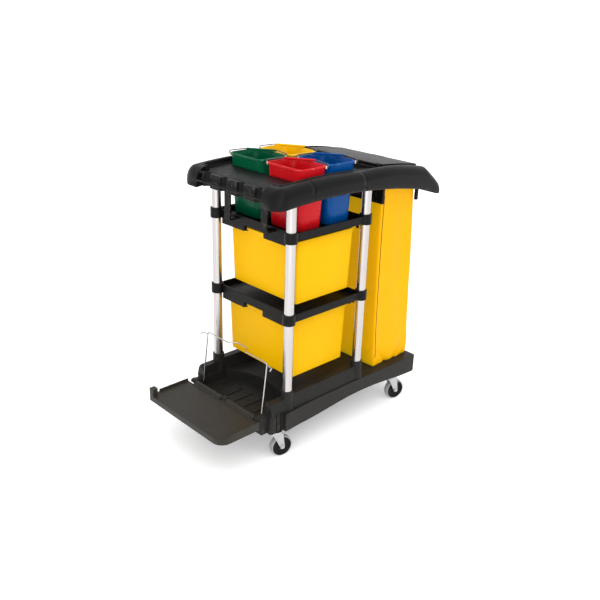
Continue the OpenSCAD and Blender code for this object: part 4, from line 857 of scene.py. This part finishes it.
def makeCaps():                                 # sockets over the posts
    t = tray
    bm = bmesh.new()
    for corner in corners:
        low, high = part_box("post_" + corner)
        r = (high.x - low.x) / 2
        bore, outer = r + t["capFit"], r + t["capWall"]
        x, y = (low.x + high.x) / 2, (low.y + high.y) / 2
        tall = arch(x) - t["panDepth"] - t["liner"] - t["capFoot"]
        edge, bevel = t["capEdge"], t["capBevel"]
        lathe(bm, [(bore, bevel), (bore + bevel, 0), (outer - edge, 0), (outer, edge), (outer, tall),
                   (bore, tall)], (x, y, t["capFoot"]), (0, 0, 1), 40, closed=True)
    addPiece("postCaps", bm, finishes["black"], "cart", "black_plastic")


# Bail

bailWire = {"radius": 0.0025, "half": 0.184, "tall": 0.228, "lean": 7, "bend": 0.010, "crank": 0.034,
            "crankHalf": 0.030, "crankSlope": 0.024, "hook": 0.030, "tip": 0.010, "pinEnd": 0.2015, "sides": 14,
            "footRise": 0.004, "footOut": 0.003, "easeOut": 0.004, "easeIn": 0.002, "easeUp": 0.003}


def makeBail():
    b = bailWire
    joint = next(j for j in frame["joints"] if j["name"] == "bail_swing")
    pivot = Vector(joint["pos_m"])
    lean = Matrix.Rotation(math.radians(b["lean"]), 3, "Y")
    half = [Vector((0, b["half"], b["footRise"])), Vector((0, b["half"], b["tall"] - b["bend"]))]
    half += [Vector((0, b["half"] - b["bend"] * (1 - math.cos(a)), b["tall"] - b["bend"] * (1 - math.sin(a))))
             for a in (math.radians(15 * k) for k in range(1, 7))]
    c, s = b["crankHalf"], b["crankSlope"]
    out, inside, up = b["easeOut"], b["easeIn"], b["easeUp"]
    half += [Vector((x, y, b["tall"])) for x, y in ((0, c + s + out), (up, c + s - inside),
                                                    (b["crank"] - up, c + inside), (b["crank"], c - out))]
    path = half + [Vector((p.x, -p.y, p.z)) for p in reversed(half)]
    path = [Vector((0, b["half"] + b["footOut"], 0))] + path + [Vector((0, -b["half"] - b["footOut"], 0))]
    bent = [pivot + lean @ p for p in path]
    bent = [pivot + Vector((0, b["pinEnd"], 0))] + bent + [pivot + Vector((0, -b["pinEnd"], 0))]
    bm = bmesh.new()
    sweep(bm, bent, b["radius"], b["sides"])
    for sign in (1, -1):
        y, z = b["half"] + b["hook"], b["tall"] - b["bend"]
        d = 2 * b["radius"]
        points = [Vector((0, b["half"] - d / 4, z)), Vector((0, y - d, z)),
                  Vector((-d * 0.5, y - d * 0.1, z - d * 0.1)), Vector((-d, y, z - d / 2)),
                  Vector((-2 * d, y, z - b["tip"]))]
        hook = [pivot + lean @ Vector((p.x, p.y * sign, p.z)) for p in smoothPath(points, 4)]
        sweep(bm, hook, b["radius"], b["sides"])
    addPiece("wireBail", bm, finishes["wire"], bodyOf["bail"], "zinc", ["bail"], 60)


# Casters

caster = {"tyre": 0.045, "rim": 0.040, "half": 0.013, "hub": 0.010, "hubHalf": 0.0145, "bore": 0.00506,
          "dish": 0.004, "rimBand": 0.004, "steps": 64,
          "crown": ((0, -0.006), (-0.0008, -0.003), (-0.0020, -0.0006), (-0.0032, 0))}


def makeCaster(corner):
    c = caster
    low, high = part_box("tyre_" + corner)
    centre = (low + high) / 2
    axis = next(j["axis"] for j in frame["record"]["behaviour"]["joints"] if j["name"] == "spin_" + corner)
    h = c["half"]
    bm = bmesh.new()
    r = c["tyre"]
    crown = [(r + past, h + up) for past, up in c["crown"]] + [(c["rim"], h)]
    crown = [(radius, -z) for radius, z in reversed(crown)] + crown
    lathe(bm, crown, centre, axis, c["steps"], closed=True)
    node = "tyre_" + corner
    addPiece("tyreRing_" + corner, bm, finishes["tyre"], bodyOf[node], "tyre", [node], 50)
    bm = bmesh.new()
    band = c["rim"] - c["rimBand"]
    side = [(c["bore"], c["hubHalf"]), (c["hub"] - 0.001, c["hubHalf"]), (c["hub"], c["hubHalf"] - 0.001),
            (c["hub"] + 0.0006, h - c["dish"] + 0.001), (c["hub"] + 0.002, h - c["dish"]),
            (band - 0.002, h - c["dish"]), (band, h - c["dish"] + 0.002), (band + 0.0006, h - 0.0006),
            (band + 0.0012, h), (c["rim"], h)]
    profile = side + [(radius, -z) for radius, z in reversed(side)]
    lathe(bm, profile, centre, axis, c["steps"], closed=True)
    node = "wheel_" + corner
    addPiece("wheelBody_" + corner, bm, finishes["wheel"], bodyOf[node], "black_plastic", [node], 50)
    softened("fork_" + corner, finishes["zinc"], "zinc", 0.6 * mm)
    softened("axle_" + corner, finishes["zinc"], "zinc", 0.6 * mm)
    softened("kingpin_" + corner, finishes["zinc"], "zinc", 0.5 * mm)


# Deck

deckFoot = {"rise": 0.018, "from": -0.14, "to": 0.49, "boss": 0.024, "pitch": 0.0417}


def archedFoot(bm):                             # the lower edges of the deck's sides bow up between the casters
    d = deckFoot
    middle, half = (d["from"] + d["to"]) / 2, (d["to"] - d["from"]) / 2
    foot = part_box("deck")[0].z
    pins = [(low + high).xy / 2 for low, high in (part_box("kingpin_" + corner) for corner in corners)]
    for v in bm.verts:
        clear = all((v.co.xy - pin).length > d["boss"] for pin in pins)
        if clear and v.co.z < foot + 1e-4 and abs(v.co.x - middle) < half:
            v.co.z += d["rise"] * (1 - ((v.co.x - middle) / half) ** 2) ** 2


# Build

finishes = makeFinishes()
setCamera()
setStudio()
for colour in pailTints:
    makePail(colour, finishes[colour])
makeBin("bin_upper", "upperBin")
makeBin("bin_lower", "lowerBin")
makeBag()
makeTray()
makeBail()
for corner in corners:
    makeCaster(corner)
softened("deck", finishes["deck"], "black_plastic", 1.2 * mm, deckFoot["pitch"], archedFoot)
for node in ("shelf_middle", "shelf_upper"):
    softened(node, finishes["black"], "black_plastic", 1.0 * mm)
for node in ("bin_rails", "front_brackets", "bag_frame", "bag_lid"):
    softened(node, finishes["black"], "black_plastic", 0.8 * mm)
softened("tool_grips", finishes["black"], "black_plastic", 3.0 * mm)
softened("platform", finishes["brown"], "black_plastic", 1.2 * mm)
for corner in corners:
    nodes["post_" + corner].data.materials.clear()
    nodes["post_" + corner].data.materials.append(finishes["aluminium"])
for rod in ("lid_rod", "platform_rod"):
    nodes[rod].data.materials.clear()
    nodes[rod].data.materials.append(finishes["black"])
print("pieces made")
